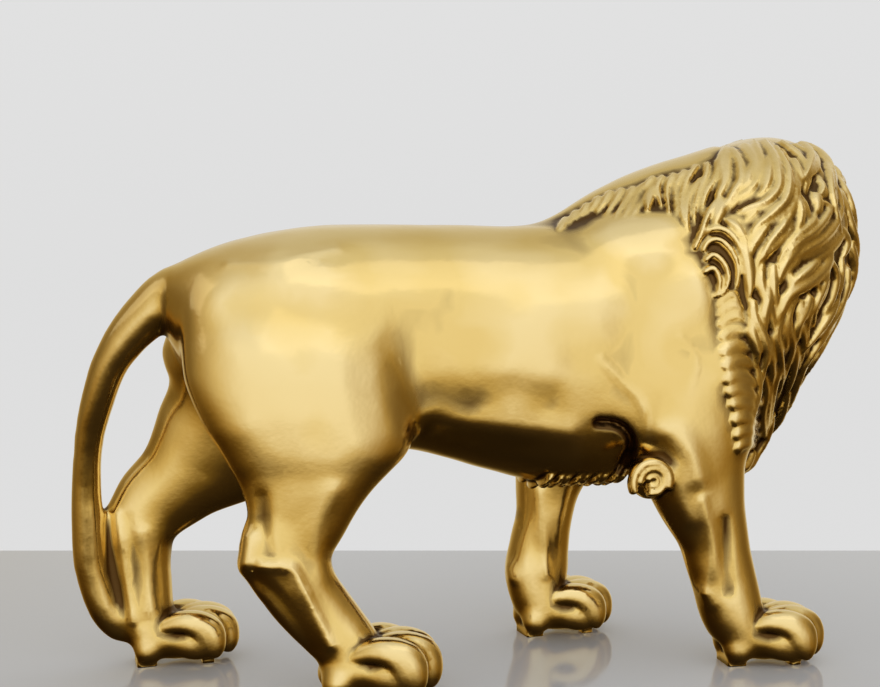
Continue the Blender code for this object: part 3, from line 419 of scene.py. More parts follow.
# Locks on the side that the photograph shows: half width, then points right of and above the middle
# of the view, in centimetres on the plane through the statue that faces the viewer
seen = {
    "eye": (-0.657, -2.167, 0.701),  # the viewer, in shares of the height from the statue's middle
    "view": 15.0,  # degrees that the viewer stands behind the lion's right side
    "pitch": 2.74,  # degrees down
    "far": 2.264,  # from the viewer to the plane, in shares of the height
    "past": 1.08,  # how far beyond the plane the skin is looked for, past the outline
    "turned": 0.22,  # a skin that faces the viewer more than this has no locks of its own
    "lift": (0.000, 0.012),
    "broad": 1.8,  # a lock with more than this half width has two strands
    "fine": 1.2,
    "widen": (1.32, 1.05),  # broader and finer locks
    "thick": (1.3, 0.0180),  # share of the half width, and the least
    "mirrored": (30, 0.0120, 0.001),  # fine locks that start above this are on both sides: thickness, lift
    "locks": [
        (1.9, [(67.4, 44.0), (67.4, 39.9), (67.2, 36.3), (65.6, 33.7)]),
        (1.9, [(72.8, 41.5), (71.8, 36.8), (69.2, 34.3)]),
        (2.2, [(76.4, 43.0), (76.7, 38.4), (75.4, 34.8), (72.3, 32.7)]),
        (2.2, [(80.0, 41.5), (81.6, 36.8), (83.1, 33.2)]),
        (1.9, [(82.1, 42.5), (83.6, 38.4), (83.4, 34.8)]),
        (1.9, [(87.2, 38.4), (88.3, 35.3), (87.2, 33.7)]),
        (1.9, [(66.1, 29.1), (69.2, 27.1), (71.5, 22.9), (71.8, 18.8)]),
        (2.2, [(76.9, 27.6), (74.4, 24.0), (72.3, 20.9), (71.5, 16.8)]),
        (1.9, [(79.0, 30.1), (80.0, 27.1), (76.4, 22.9), (73.6, 18.8)]),
        (1.9, [(86.7, 30.1), (86.2, 27.1), (82.6, 24.0), (79.5, 20.9), (77.5, 17.3)]),
        (1.9, [(84.7, 22.9), (81.6, 19.9), (79.0, 16.2), (77.7, 11.6)]),
        (1.9, [(87.7, 18.8), (84.7, 15.7), (81.6, 13.7), (79.0, 10.6)]),
        (1.9, [(89.8, 16.8), (88.3, 12.6), (86.2, 8.0), (86.2, 3.4)]),
        (1.9, [(92.9, 19.9), (92.4, 14.7), (91.3, 10.6), (89.3, 6.5)]),
        (1.6, [(81.6, 12.6), (79.0, 9.0), (77.5, 5.4), (78.0, 1.3)]),
        (1.6, [(85.7, 11.6), (84.1, 8.0), (82.1, 3.9), (82.1, -0.2)]),
        (1.6, [(87.7, 5.4), (86.7, 1.3), (86.7, -2.8), (84.7, -7.4)]),
        (1.6, [(82.1, 0.3), (81.6, -4.3), (80.5, -9.0), (79.0, -13.1)]),
        (1.6, [(75.4, 14.7), (75.4, 10.6), (74.4, 6.5), (75.4, 2.9)]),
        (1.6, [(76.2, 2.9), (75.9, -2.3), (76.2, -7.4), (74.9, -12.6)]),
        (1.4, [(71.5, 6.5), (71.8, 2.4), (72.8, -1.8), (72.3, -5.9)]),
        (1.4, [(72.8, -11.5), (74.4, -16.2), (73.3, -20.3), (73.6, -24.4)]),
        (1.4, [(76.4, -7.4), (75.4, -12.6), (74.9, -17.7), (75.4, -22.3)]),
        (1.4, [(66.4, 45.6), (65.2, 41.5), (65.7, 36.8), (64.3, 33.2), (65.2, 29.1)]),
        (1.9, [(67.9, 45.1), (70.0, 41.5), (70.5, 37.3), (68.4, 34.0), (66.6, 31.2), (66.0, 28.1)]),
        (1.8, [(70.2, 46.1), (72.3, 42.5), (72.8, 38.9), (71.8, 35.8)]),
        (1.9, [(73.1, 46.9), (74.6, 43.0), (74.8, 38.9), (72.8, 35.3), (69.7, 33.0), (67.4, 31.2)]),
        (2.2, [(75.4, 46.9), (77.7, 43.0), (78.7, 38.9), (78.5, 34.8), (75.4, 31.7), (71.3, 30.7),
               (68.2, 29.9)]),
        (2.2, [(78.0, 45.6), (80.5, 40.4), (81.1, 36.3), (80.0, 32.2), (76.9, 29.1), (72.8, 26.0),
               (71.5, 22.4)]),
        (1.9, [(80.5, 36.8), (82.3, 32.2), (80.8, 28.1), (78.0, 24.0), (74.6, 20.4), (73.3, 16.2),
               (72.3, 12.6)]),
        (1.9, [(79.0, 46.6), (83.1, 43.0), (84.7, 38.9), (84.4, 34.3)]),
        (1.6, [(81.8, 46.1), (85.7, 42.0), (87.7, 37.9), (86.5, 34.3)]),
        (2.2, [(82.1, 34.8), (83.6, 31.2), (83.4, 27.6), (81.6, 24.0), (78.5, 20.9)]),
        (1.9, [(85.7, 33.7), (89.3, 32.2), (89.5, 29.1), (86.2, 25.0), (82.6, 22.7), (80.0, 19.9),
               (78.2, 15.7)]),
        (2.2, [(84.1, 46.1), (88.3, 42.0), (90.3, 37.3), (92.1, 32.2), (91.6, 27.6), (88.3, 23.2),
               (83.6, 20.4), (80.0, 17.8), (78.2, 12.6)]),
        (1.6, [(86.7, 44.0), (90.8, 39.9), (90.3, 34.8), (92.6, 29.6), (92.9, 26.0), (90.3, 21.9),
               (86.2, 18.8), (81.1, 16.2), (78.5, 11.6)]),
        (1.8, [(90.3, 22.9), (89.3, 18.3), (85.7, 14.7), (80.5, 11.6), (78.5, 7.5), (78.0, 3.4)]),
        (1.6, [(89.3, 43.0), (93.4, 38.4), (92.6, 33.7), (94.2, 29.1), (96.2, 22.9), (96.5, 18.3),
               (94.7, 12.6)]),
        (1.4, [(92.1, 36.3), (92.9, 31.2), (94.4, 26.0), (95.0, 20.9), (94.2, 15.7), (92.9, 11.1)]),
        (1.4, [(89.8, 19.9), (91.3, 15.7), (90.3, 10.6), (88.3, 6.5), (87.7, 1.8)]),
        (1.9, [(86.7, 15.7), (87.5, 11.1), (85.2, 6.5), (84.9, 1.8), (85.7, -2.3), (84.1, -6.9)]),
        (1.6, [(82.6, 11.1), (80.5, 8.0), (80.0, 3.9), (81.1, -0.2), (80.0, -4.9), (78.7, -10.0),
               (78.5, -13.6)]),
        (1.4, [(83.6, 10.6), (82.6, 6.0), (83.6, 1.3), (82.9, -3.3), (81.1, -8.5), (79.5, -12.6)]),
        (1.4, [(90.8, 9.0), (89.8, 3.9), (87.7, -0.7), (85.7, -5.4), (82.6, -10.0), (80.0, -13.6)]),
        (1.3, [(93.4, 11.6), (91.9, 6.5), (90.1, 2.4), (88.3, -2.8), (85.9, -6.9), (83.1, -10.5)]),
        (1.4, [(79.0, 6.5), (77.2, 2.4), (78.0, -2.3), (78.5, -6.9), (78.2, -11.5)]),
        (1.6, [(70.5, 27.1), (70.2, 22.4), (71.0, 17.8), (71.5, 12.6), (71.0, 8.5)]),
        (1.4, [(74.4, 18.8), (73.9, 14.7), (74.9, 10.6), (76.2, 6.5), (76.9, 2.4), (76.2, -2.8),
               (74.4, -6.4)]),
        (1.6, [(76.9, 18.8), (76.7, 13.7), (77.2, 9.0), (76.9, 5.4)]),
        (1.6, [(72.3, 10.6), (72.3, 6.5), (74.1, 1.8), (74.9, -1.8), (73.9, -6.4), (73.1, -11.5)]),
        (1.4, [(77.5, 0.3), (78.0, -4.9), (76.7, -10.0), (75.9, -15.1), (75.4, -20.3), (74.9, -24.9)]),
        (1.3, [(74.4, -5.9), (74.9, -11.0), (73.9, -16.2), (74.4, -21.3), (74.1, -24.9)]),
        (1.3, [(71.5, -1.8), (72.8, -6.4), (73.3, -11.5), (72.3, -16.7), (72.8, -22.3)]),
        (1.1, [(49.7, 38.6), (47.6, 35.8), (48.1, 32.7)]),
        (1.1, [(51.7, 38.9), (50.2, 35.3), (51.2, 31.2)]),
        (1.1, [(54.3, 39.4), (52.5, 35.3), (53.0, 29.6)]),
        (1.1, [(56.9, 40.2), (54.6, 35.8), (54.6, 28.6)]),
        (1.1, [(59.7, 41.5), (56.9, 36.8), (55.8, 31.2), (56.4, 27.1)]),
        (1.1, [(60.5, 38.4), (57.6, 33.7), (56.9, 29.1), (57.6, 25.0)]),
        (1.1, [(62.0, 42.0), (61.5, 38.4), (60.0, 34.8), (58.7, 30.1), (59.2, 26.0)]),
        (1.1, [(64.1, 42.5), (63.6, 37.9), (61.5, 34.3), (60.5, 30.1), (61.5, 27.1)]),
        (1.1, [(64.6, 33.7), (63.0, 31.2), (61.5, 28.6), (60.0, 25.0), (59.2, 22.4)]),
        (1.1, [(58.7, 21.4), (60.0, 24.5), (63.0, 26.3), (66.1, 25.8), (68.7, 22.9), (70.2, 18.8),
               (70.7, 14.7), (71.5, 11.1)]),
        (1.0, [(60.5, 20.9), (62.0, 23.5), (64.6, 23.7), (67.2, 21.4), (68.7, 17.8), (68.7, 13.7),
               (67.4, 10.6)]),
        (1.0, [(61.0, 18.8), (63.0, 20.4), (65.4, 18.3), (66.4, 15.2), (65.4, 12.1), (63.3, 10.6)]),
        (1.0, [(60.7, 16.2), (62.8, 17.3), (64.3, 15.2), (64.1, 12.1), (62.8, 10.8)]),
        (1.6, [(74.8, 32.4), (71.6, 29.1), (69.5, 25.5)]),
        (1.4, [(65.5, 33.5), (64.2, 29.3), (62.5, 25.5)]),
        (1.4, [(49.8, 36.8), (48.4, 33.3), (47.9, 30.2)]),
        (1.8, [(86.5, 35.0), (87.2, 31.5), (85.5, 28.0)]),
        (1.8, [(92.0, 27.0), (93.5, 23.5), (92.5, 19.5)]),
        (1.4, [(80.6, 16.6), (81.2, 12.0), (80.4, 7.8)]),
        (1.4, [(78.9, 5.2), (79.4, 0.4), (79.6, -4.6)]),
        (1.4, [(84.4, 2.6), (84.0, -2.4), (82.4, -7.2)]),
    ],
    "ribs": {
        # right, up, reach to each side and how much lower the right end lies
        "rows": [
            (66.8, 10.6, 2.4, 0.0),
            (67.4, 8.2, 2.8, 0.0),
            (67.9, 5.6, 3.1, 0.2),
            (68.4, 2.4, 3.4, 0.4),
            (68.8, -1.2, 3.6, 0.4),
            (69.2, -4.6, 3.5, 0.6),
            (69.6, -8.2, 3.6, 1.0),
            (70.0, -11.4, 3.8, 1.6),
            (70.6, -14.6, 3.6, 1.9),
            (70.9, -18.0, 3.3, 1.7),
            (71.1, -21.0, 3.0, 1.2),
            (71.2, -23.6, 2.7, 0.8),
        ],
        "arc": [(-1, -2.5), (-0.6, -0.3), (0, 0.8), (0.6, 0.2), (1, -1.3)],
        "width": 0.0165,  # of a rib with the next line's reach
        "reach": 3,
        "thick": 0.0105,
        "lift": 0.005,
    },
    "tufts": {
        "line": [(28.3, 27.4, 3.2), (33.0, 30.2, 4.6), (37.8, 32.4, 6.2), (42.7, 32.6, 8.0),
                 (47.0, 33.4, 9.5)],
        "count": 9,
        "lean": [(0.30, 0.5), (0.05, 0), (-0.35, -0.5)],  # right and up, in its own length
        "width": 0.0112,
        "thick": 0.0145,
        "lift": 0.002,
    },
}


def addManeBody(clay):
    rows = through(mane["rings"], 60)
    turn, tilt = np.radians(rows[:, 3]), np.radians(rows[:, 4])
    left = np.stack([-np.sin(turn), np.cos(turn), 0 * turn], 1)
    up = np.stack([-np.sin(tilt) * np.cos(turn), -np.sin(tilt) * np.sin(turn), np.cos(tilt)], 1)
    sweep(clay, rows[:, :3], left, up, rows[:, 5], rows[:, 6], 48, mane["sides"], mane["taper"])
    bar(clay, mane["crest"], 24, 20)
    egg(clay, *mane["brow"])
    bar(clay, mane["bib"], 24, 24)


def headBase():  # X out of the face, Y to the lion's left, Z up, from the middle of the skull
    turn = Matrix.Rotation(math.radians(head["turn"]), 4, "Z")
    drop = Matrix.Rotation(math.radians(head["drop"]), 4, "Y")
    return Matrix.Translation(Vector(head["skull"])) @ turn @ drop


def ramped(value, start, over):  # 0 up to the start, then rising to 1
    return max(0.0, min(1.0, (value - start) / over))


def hairWay(point, normal):  # out from the face or the crown, then down in waves
    hair = mane["hair"]
    spot = Vector(point) / height
    toFace = Matrix.Rotation(math.radians(head["turn"]), 3, "Z") @ Vector((1, 0, 0))
    fromSkull = spot - Vector(head["skull"])
    ahead = fromSkull.dot(toFace)
    out = fromSkull - toFace * ahead
    out = out.normalized() if out.length > 1e-6 else Vector((0, 0, 1))
    nearFace = ramped(ahead, *hair["face"])
    crown = Vector((spot.x - hair["crown"][0], spot.y - hair["crown"][1], 0))
    fall = Vector(hair["fall"]) + crown * (hair["spread"] * ramped(spot.z, *hair["high"]))
    way = fall.normalized() * (1 - nearFace) + out * nearFace
    way -= normal * way.dot(normal)
    way = way.normalized() if way.length > 1e-6 else Vector((-1, 0, 0))
    side = normal.cross(way)
    phase = 2 * math.pi * (1.0 - spot.z) / mane["wave"] + hair["drift"] * spot.x
    swing = math.radians(mane["swing"] * (1 - hair["calm"] * nearFace)) * math.cos(phase)
    return way * math.cos(swing) + side * math.sin(swing)


def comb(skin, start, length, steps=22):
    spot, normal, _, _ = skin.find_nearest(start)
    points, normals = [spot], [normal]
    step = length * height / steps
    for _ in range(steps):
        spot, normal, _, _ = skin.find_nearest(spot + hairWay(spot, normal) * step)
        points.append(spot)
        normals.append(normal)
    return np.array(points) / height, np.array(normals)


def addLock(clay, points, normals, width, thick, lift, strands):
    t = np.linspace(0, 1, len(points))
    run = np.gradient(points, axis=0)
    run /= np.linalg.norm(run, axis=1)[:, None]
    across = np.cross(normals, run)
    across /= np.linalg.norm(across, axis=1)[:, None]
    start, early, full = lock["leaf"]
    leaf = np.sin(math.pi * (start + (1 - start) * t) ** early) ** full
    for place in strands:
        slim = 1.0 if len(strands) == 1 else lock["strand"]
        tall = 1.0 - lock["lower"] * (place > 0)
        centres = points + normals * (lift * t ** lock["late"] - thick * lock["sunk"])[:, None]
        centres = centres + across * (place * width * leaf)[:, None]
        sweep(clay, centres, across, normals, width * slim * leaf, thick * tall * leaf ** lock["edge"], 10)


def growsHair(point):
    clear = mane["clear"]
    spot = Vector(point) / height
    local = headBase().inverted() @ spot
    inFace = local.x > clear["ahead"] and math.hypot(local.y, local.z - clear["middle"]) < clear["circle"]
    left, right = clear["sides"]
    onCrest = spot.x < clear["crest"] and left < spot.y < right and spot.z > clear["foot"]
    return not inFace and not onCrest


def crowded(offset, way):
    along = offset.dot(way)
    across = (offset - way * along).length
    return math.hypot(along / mane["step"], across / mane["spacing"]) < height


def seenAt(skin, right, up):  # where the viewer's line of sight meets the skin
    view, pitch = math.radians(seen["view"]), math.radians(seen["pitch"])
    ahead = Vector((math.sin(view) * math.cos(pitch), math.cos(view) * math.cos(pitch), -math.sin(pitch)))
    aside = Vector((math.cos(view), -math.sin(view), 0))
    over = aside.cross(ahead)
    reach = ahead * (seen["far"] * height) + aside * (right / 100) + over * (up / 100)
    eye = Vector(seen["eye"]) * height
    spot, normal, _, _ = skin.ray_cast(eye, reach.normalized())
    if spot is None:  # just past the outline
        spot, normal, _, _ = skin.find_nearest(eye + reach * seen["past"])
    return spot, normal


def seenStroke(skin, line, count):
    got = [seenAt(skin, *place) for place in through(line, count)]
    points = np.array([spot for spot, _ in got]) / height
    normals = np.array([normal for _, normal in got])
    for _ in range(3):
        points[1:-1] = (points[:-2] + 2 * points[1:-1] + points[2:]) / 4
        normals[1:-1] = (normals[:-2] + 2 * normals[1:-1] + normals[2:]) / 4
    return points, normals / np.linalg.norm(normals, axis=1)[:, None]


def mirrored(skin, points):  # the same stroke on the side that the photograph doesn't show
    got = [skin.find_nearest(Vector((x, -y, z)) * height) for x, y, z in points]
    return np.array([hit[0] for hit in got]) / height, np.array([hit[1] for hit in got])


def addSeenLocks(clay, skin):
    rng = np.random.default_rng(11)
    full, least = seen["thick"]
    above, flat, low = seen["mirrored"]
    for width, line in seen["locks"]:
        points, normals = seenStroke(skin, line, 10 + 6 * len(line))
        half = width / 100 / height
        lift = rng.uniform(*seen["lift"])
        strands = mane["strands"] if width > seen["broad"] else (0.0,)
        wide = half * seen["widen"][0 if width > seen["fine"] else 1]
        addLock(clay, points, normals, wide, max(half * full, least), lift, strands)
        if width < seen["fine"] and line[0][1] > above:
            addLock(clay, *mirrored(skin, points), wide, flat, low, strands)
    ribs = seen["ribs"]
    for right, up, reach, lean in ribs["rows"]:  # one on the other like shells
        arc = [(right + reach * ahead, up + rise - lean * ahead) for ahead, rise in ribs["arc"]]
        points, normals = seenStroke(skin, arc, 22)
        wide = ribs["width"] * reach / ribs["reach"]
        addLock(clay, points, normals, wide, ribs["thick"], ribs["lift"], (0.0,))
    tufts = seen["tufts"]
    for right, up, long in through(tufts["line"], tufts["count"]):
        tuft = [(right + ahead * long, up + rise * long) for ahead, rise in tufts["lean"]]
        points, normals = seenStroke(skin, tuft, 16)
        for stroke in ((points, normals), mirrored(skin, points)):
            addLock(clay, *stroke, tufts["width"], tufts["thick"], tufts["lift"], (0.0,))


def facesViewer(point, normal):
    return (Vector(seen["eye"]) * height - point).normalized().dot(normal) > seen["turned"]


def addRuff(clay, skin):  # locks all round the face, which the others then fall from
    ruff, base = mane["ruff"], headBase()
    kept = []
    for turn in np.linspace(0, 2 * math.pi, ruff["count"], endpoint=False):
        ring = Vector((ruff["ahead"], ruff["radius"] * math.cos(turn), ruff["radius"] * math.sin(turn)))
        spot, normal, _, _ = skin.find_nearest((base @ ring) * height)
        kept.append((spot, hairWay(spot, normal)))
        points, normals = comb(skin, spot, ruff["length"])
        addLock(clay, points, normals, ruff["width"], ruff["thick"], ruff["lift"], mane["strands"])
    return kept


def addLocks(clay, skin, starts):
    rng = np.random.default_rng(7)
    kept = addRuff(clay, skin)
    for point in sorted(starts, key=lambda p: (round(-p.z, 3), round(p.x, 3), round(p.y, 3))):
        spot, normal, _, gap = skin.find_nearest(point)
        if gap > mane["near"] * height or not growsHair(spot) or facesViewer(spot, normal):
            continue
        if any(crowded(spot - other, way) for other, way in kept):
            continue
        kept.append((spot, hairWay(spot, normal)))
        forward = max(mane["least"], ramped(spot.x / height, *mane["rear"]))
        size = rng.uniform(*mane["vary"])
        points, normals = comb(skin, spot, mane["length"] * forward * size)
        wide = mane["width"] * forward ** mane["slim"]
        addLock(clay, points, normals, wide, mane["thick"], mane["lift"], mane["strands"])
    print("stage:", len(kept), "locks combed")


def maneStarts():
    clay = bmesh.new()
    addManeBody(clay)
    guide = meshObject("maneGuide", clay)
    fuse(guide, *mane["guide"])
    points = [v.co.copy() for v in guide.data.vertices]
    bpy.data.objects.remove(guide)
    return points


# Curls: down both shoulders, round on the near elbow, and a fringe under the breast
curls = {
    # x, z, radius
    "shoulder": [
        (0.395, 0.735, 0.040),
        (0.425, 0.655, 0.030),
        (0.440, 0.595, 0.028),
        (0.452, 0.540, 0.027),
        (0.462, 0.487, 0.025),
        (0.472, 0.437, 0.023),
    ],
    "turn": (-20, 250),  # first angle and sweep, in degrees
    "shrink": 0.45,
    "inner": 0.45,  # radius of the small curl inside each
    "width": 0.0132,
    "depth": 0.0154,
    "lift": 0.004,
    "elbow": (0.266, -0.178, 0.352),
    # each scroll: radius, first and last angle in degrees, half width
    "scrolls": [(0.039, 215, -30, 0.0085), (0.025, 195, -120, 0.0080), (0.010, 180, -150, 0.0070)],
    "scrollDepth": 1.4,  # in its half widths
    "wind": (1.0, 0.80),  # how much nearer the middle a scroll ends
    "knob": ((0.012, 0.036, 0.004), (0.039, 0.036, 0.042)),  # from the elbow, and radii
    "fringe": (0.105, 0.250, 9),  # first and last x, count
    "fringeRows": [(-0.075, 0.358), (-0.020, 0.345), (0.035, 0.348), (0.085, 0.360)],  # y, z
    "fringeLeaf": (0.0085, 0.034, 0.028),
    "fringeTurn": (0, 30, 0),
    "stagger": 0.004,
}


def skinAt(skin, x, hand, z):
    start = Vector((x, hand * statue["beside"], z)) * height
    spot, normal, _, _ = skin.ray_cast(start, Vector((0, -hand, 0)))
    return spot, normal


def addCurl(clay, skin, x, z, radius, hand, rings=18):
    points, normals = [], []
    for t in np.linspace(0, 1, rings):
        angle = math.radians(curls["turn"][0] + curls["turn"][1] * t)
        reach = radius * (1 - curls["shrink"] * t)
        spot, normal = skinAt(skin, x + reach * math.cos(angle), hand, z + reach * math.sin(angle))
        if spot is None:
            return
        points.append(spot / height)
        normals.append(normal)
    points, normals = np.array(points), np.array(normals)
    addLock(clay, points, normals, curls["width"], curls["depth"], curls["lift"], (0.0,))


def addCurls(clay, skin):
    for x, z, radius in curls["shoulder"]:
        addCurl(clay, skin, x, z, radius, 1)
        addCurl(clay, skin, x, z, radius * curls["inner"], 1)
    x, y, z = curls["elbow"]
    for radius, first, last, width in curls["scrolls"]:
        angles = np.radians(np.linspace(first, last, 24))
        reach = radius * np.linspace(*curls["wind"], 24)
        ring = np.stack([x + reach * np.cos(angles), np.full(24, y), z + reach * np.sin(angles)], 1)
        deep, wide = np.full(24, width * curls["scrollDepth"]), np.full(24, width)
        bar(clay, np.column_stack([ring, deep, wide]), 40, 12)
    (ahead, aside, up), radii = curls["knob"]
    egg(clay, (x + ahead, y + aside, z + up), radii)
    first, last, count = curls["fringe"]
    for i, at in enumerate(np.linspace(first, last, count)):
        for row, low in curls["fringeRows"]:
            place = (at + curls["stagger"] * (i % 2), row, low)
            egg(clay, place, curls["fringeLeaf"], curls["fringeTurn"])


# Paws: where the ankle stands, which side, which way the toes point in degrees from +X, and how large
paws = {
    "places": [(-0.276, -1, -3, 1.06), (-0.583, 1, 4, 0.98), (0.470, -1, -4, 1.01), (0.170, 1, 5, 1.0)],
    "length": 0.150,
    "width": 0.118,
    "height": 0.104,
    "clearance": 0.009,
    "sides": 2.3,
    "toes": [(-0.76, 0.80), (-0.26, 1.0), (0.26, 1.0), (0.76, 0.80)],  # place across, reach ahead
    # a toe's stations: back from its tip, share of its place across, height, half width, half depth
    "toe": [
        (-0.130, 0.62, 0.058, 0.012, 0.012),
        (-0.090, 0.84, 0.072, 0.0190, 0.020),
        (-0.058, 1.00, 0.070, 0.0225, 0.026),
        (-0.036, 1.05, 0.054, 0.0225, 0.034),
        (-0.029, 1.06, 0.034, 0.0215, 0.032),
        (-0.030, 1.05, 0.016, 0.0180, 0.026),
        (-0.034, 1.04, 0.006, 0.0100, 0.014),
    ],
    "toeStub": (0.088, -0.028, 0.022, 0.024),  # ahead, aside, length, width
    "heelPad": (-0.022, 0, 0.036, 0.058),
    "buried": 0.020,  # how far these reach up into the paw
    # eggs of the paw: ahead, aside and up, radii, turn; aside and its radius in half widths
    "instep": ((0.030, 0.040), (0.080, 0.88, 0.046), (0, 9, 0)),
    "ball": (-0.050, 0.036, (0.050, 0.36, 0.040), 10),
    "heel": ((-0.020, 0.40, 0.024), (0.030, 0.42, 0.033)),
}


def pawBase(x, hand, yaw, size):
    lift = Matrix.Translation((x, hand * statue["stance"], paws["clearance"]))
    return lift @ Matrix.Rotation(math.radians(yaw), 4, "Z") @ Matrix.Scale(size, 4)


def addInstep(clay, *place):
    base = pawBase(*place)
    half = paws["width"] / 2
    (ahead, up), (long, wide, tall), turn = paws["instep"]
    egg(clay, (ahead, 0, up), (long, half * wide, tall), turn, base)
    ahead, up, (long, wide, tall), splay = paws["ball"]
    for aside, reach in paws["toes"]:
        tip = paws["length"] * reach
        egg(clay, (tip + ahead, aside * half, up), (long, half * wide, tall), (0, 0, aside * splay), base)
    (ahead, aside, up), (long, wide, tall) = paws["heel"]
    for side in (-1, 1):
        egg(clay, (ahead, side * half * aside, up), (long, half * wide, tall), (0, 0, 0), base)


def addToes(clay, x, hand, yaw, size):
    base = pawBase(x, hand, yaw, size)
    half = paws["width"] / 2
    for place, reach in paws["toes"]:
        rows = []
        for back, aside, up, wide, deep in paws["toe"]:
            spot = base @ Vector((paws["length"] * reach + back, place * half * aside, up))
            rows.append((*spot, wide * size, deep * size))
        bar(clay, rows, 26, 18, paws["sides"])
    floor = Matrix.Scale(height, 4) @ Matrix.Translation((x, hand * statue["stance"], 0))
    floor = floor @ Matrix.Rotation(math.radians(yaw), 4, "Z")
    for ahead, aside, long, wide in (paws["toeStub"], paws["heelPad"]):
        stub = bmesh.new()
        block = Matrix.Diagonal((long, wide, 2 * paws["clearance"] + paws["buried"], 1))
        bmesh.ops.create_cube(stub, size=1.0, matrix=floor @ Matrix.Translation((ahead, aside, 0)) @ block)
        addLump(clay, stub)


# Face, in the head's own directions: out of the face, to the lion's left, up
face = {
    "eggs": [
        # centre, radii, tilt
        ((0.000, 0, 0.012), (0.100, 0.090, 0.094), 0),  # skull
        ((0.052, 0, 0.052), (0.060, 0.058, 0.050), 22),  # forehead
        ((0.100, 0, -0.030), (0.070, 0.052, 0.044), 4),  # muzzle
        ((0.118, 0, -0.074), (0.044, 0.034, 0.026), 0),  # chin
        ((0.070, 0, -0.066), (0.066, 0.050, 0.036), -6),  # jaw
        ((0.146, 0, -0.012), (0.026, 0.024, 0.026), 0),  # upper lip
    ],
    "pairs": [
        ((0.034, 0.052, -0.014), (0.062, 0.044, 0.066), 0),  # cheek
        ((0.140, 0.020, -0.032), (0.036, 0.029, 0.033), 8),  # whisker pad
        ((0.068, 0.042, 0.032), (0.028, 0.030, 0.030), 0),  # round the eye
        ((0.094, 0.042, 0.036), (0.012, 0.017, 0.011), 0),  # eye
        ((-0.022, 0.094, 0.082), (0.013, 0.030, 0.034), -6),  # ear
    ],
    # bars: place out, aside and up, half width, half depth
    "bridge": [
        (0.040, 0, 0.080, 0.034, 0.016),
        (0.078, 0, 0.064, 0.031, 0.028),
        (0.112, 0, 0.036, 0.025, 0.030),
        (0.144, 0, 0.008, 0.025, 0.026),
        (0.158, 0, -0.004, 0.024, 0.018),
    ],
    "nose": [
        (0.156, 0, 0.014, 0.016, 0.010),
        (0.168, 0, 0.004, 0.027, 0.013),
        (0.171, 0, -0.008, 0.017, 0.011),
        (0.168, 0, -0.020, 0.005, 0.007),
    ],
    "barPairs": [
        [(0.106, 0.014, 0.050, 0.010, 0.012), (0.098, 0.036, 0.056, 0.012, 0.014),
         (0.070, 0.066, 0.046, 0.010, 0.012)],
        [(0.104, 0.022, 0.030, 0.004, 0.005), (0.097, 0.040, 0.021, 0.005, 0.006),
         (0.080, 0.060, 0.026, 0.004, 0.005)],
        [(0.106, 0.030, 0.012, 0.012, 0.012), (0.082, 0.056, -0.010, 0.022, 0.018),
         (0.050, 0.072, -0.040, 0.020, 0.016)],
        [(0.158, 0.004, -0.048, 0.005, 0.006), (0.150, 0.030, -0.056, 0.006, 0.007),
         (0.112, 0.050, -0.052, 0.005, 0.006)],
        [(-0.014, 0.068, 0.080, 0.006, 0.007), (-0.012, 0.078, 0.112, 0.006, 0.008),
         (-0.016, 0.104, 0.122, 0.006, 0.008),
         (-0.018, 0.126, 0.100, 0.006, 0.008), (-0.014, 0.122, 0.066, 0.006, 0.007)],
    ],
}


def addFace(clay):
    base = headBase()

    def faceBar(stations, rings, hand=1):
        places = [base @ Vector((out, aside * hand, up)) for out, aside, up, _, _ in stations]
        rows = [(*place, *station[3:]) for place, station in zip(places, stations)]
        bar(clay, rows, rings, 18, side=base.to_3x3() @ Vector((0, 1, 0)))

    for centre, radii, tilt in face["eggs"]:
        egg(clay, centre, radii, (0, tilt, 0), base)
    for hand in (-1, 1):
        for (out, aside, up), radii, tilt in face["pairs"]:
            egg(clay, (out, aside * hand, up), radii, (0, tilt, 0), base)
        for stations in face["barPairs"]:
            faceBar(stations, 16, hand)
    faceBar(face["bridge"], 22)
    faceBar(face["nose"], 14)


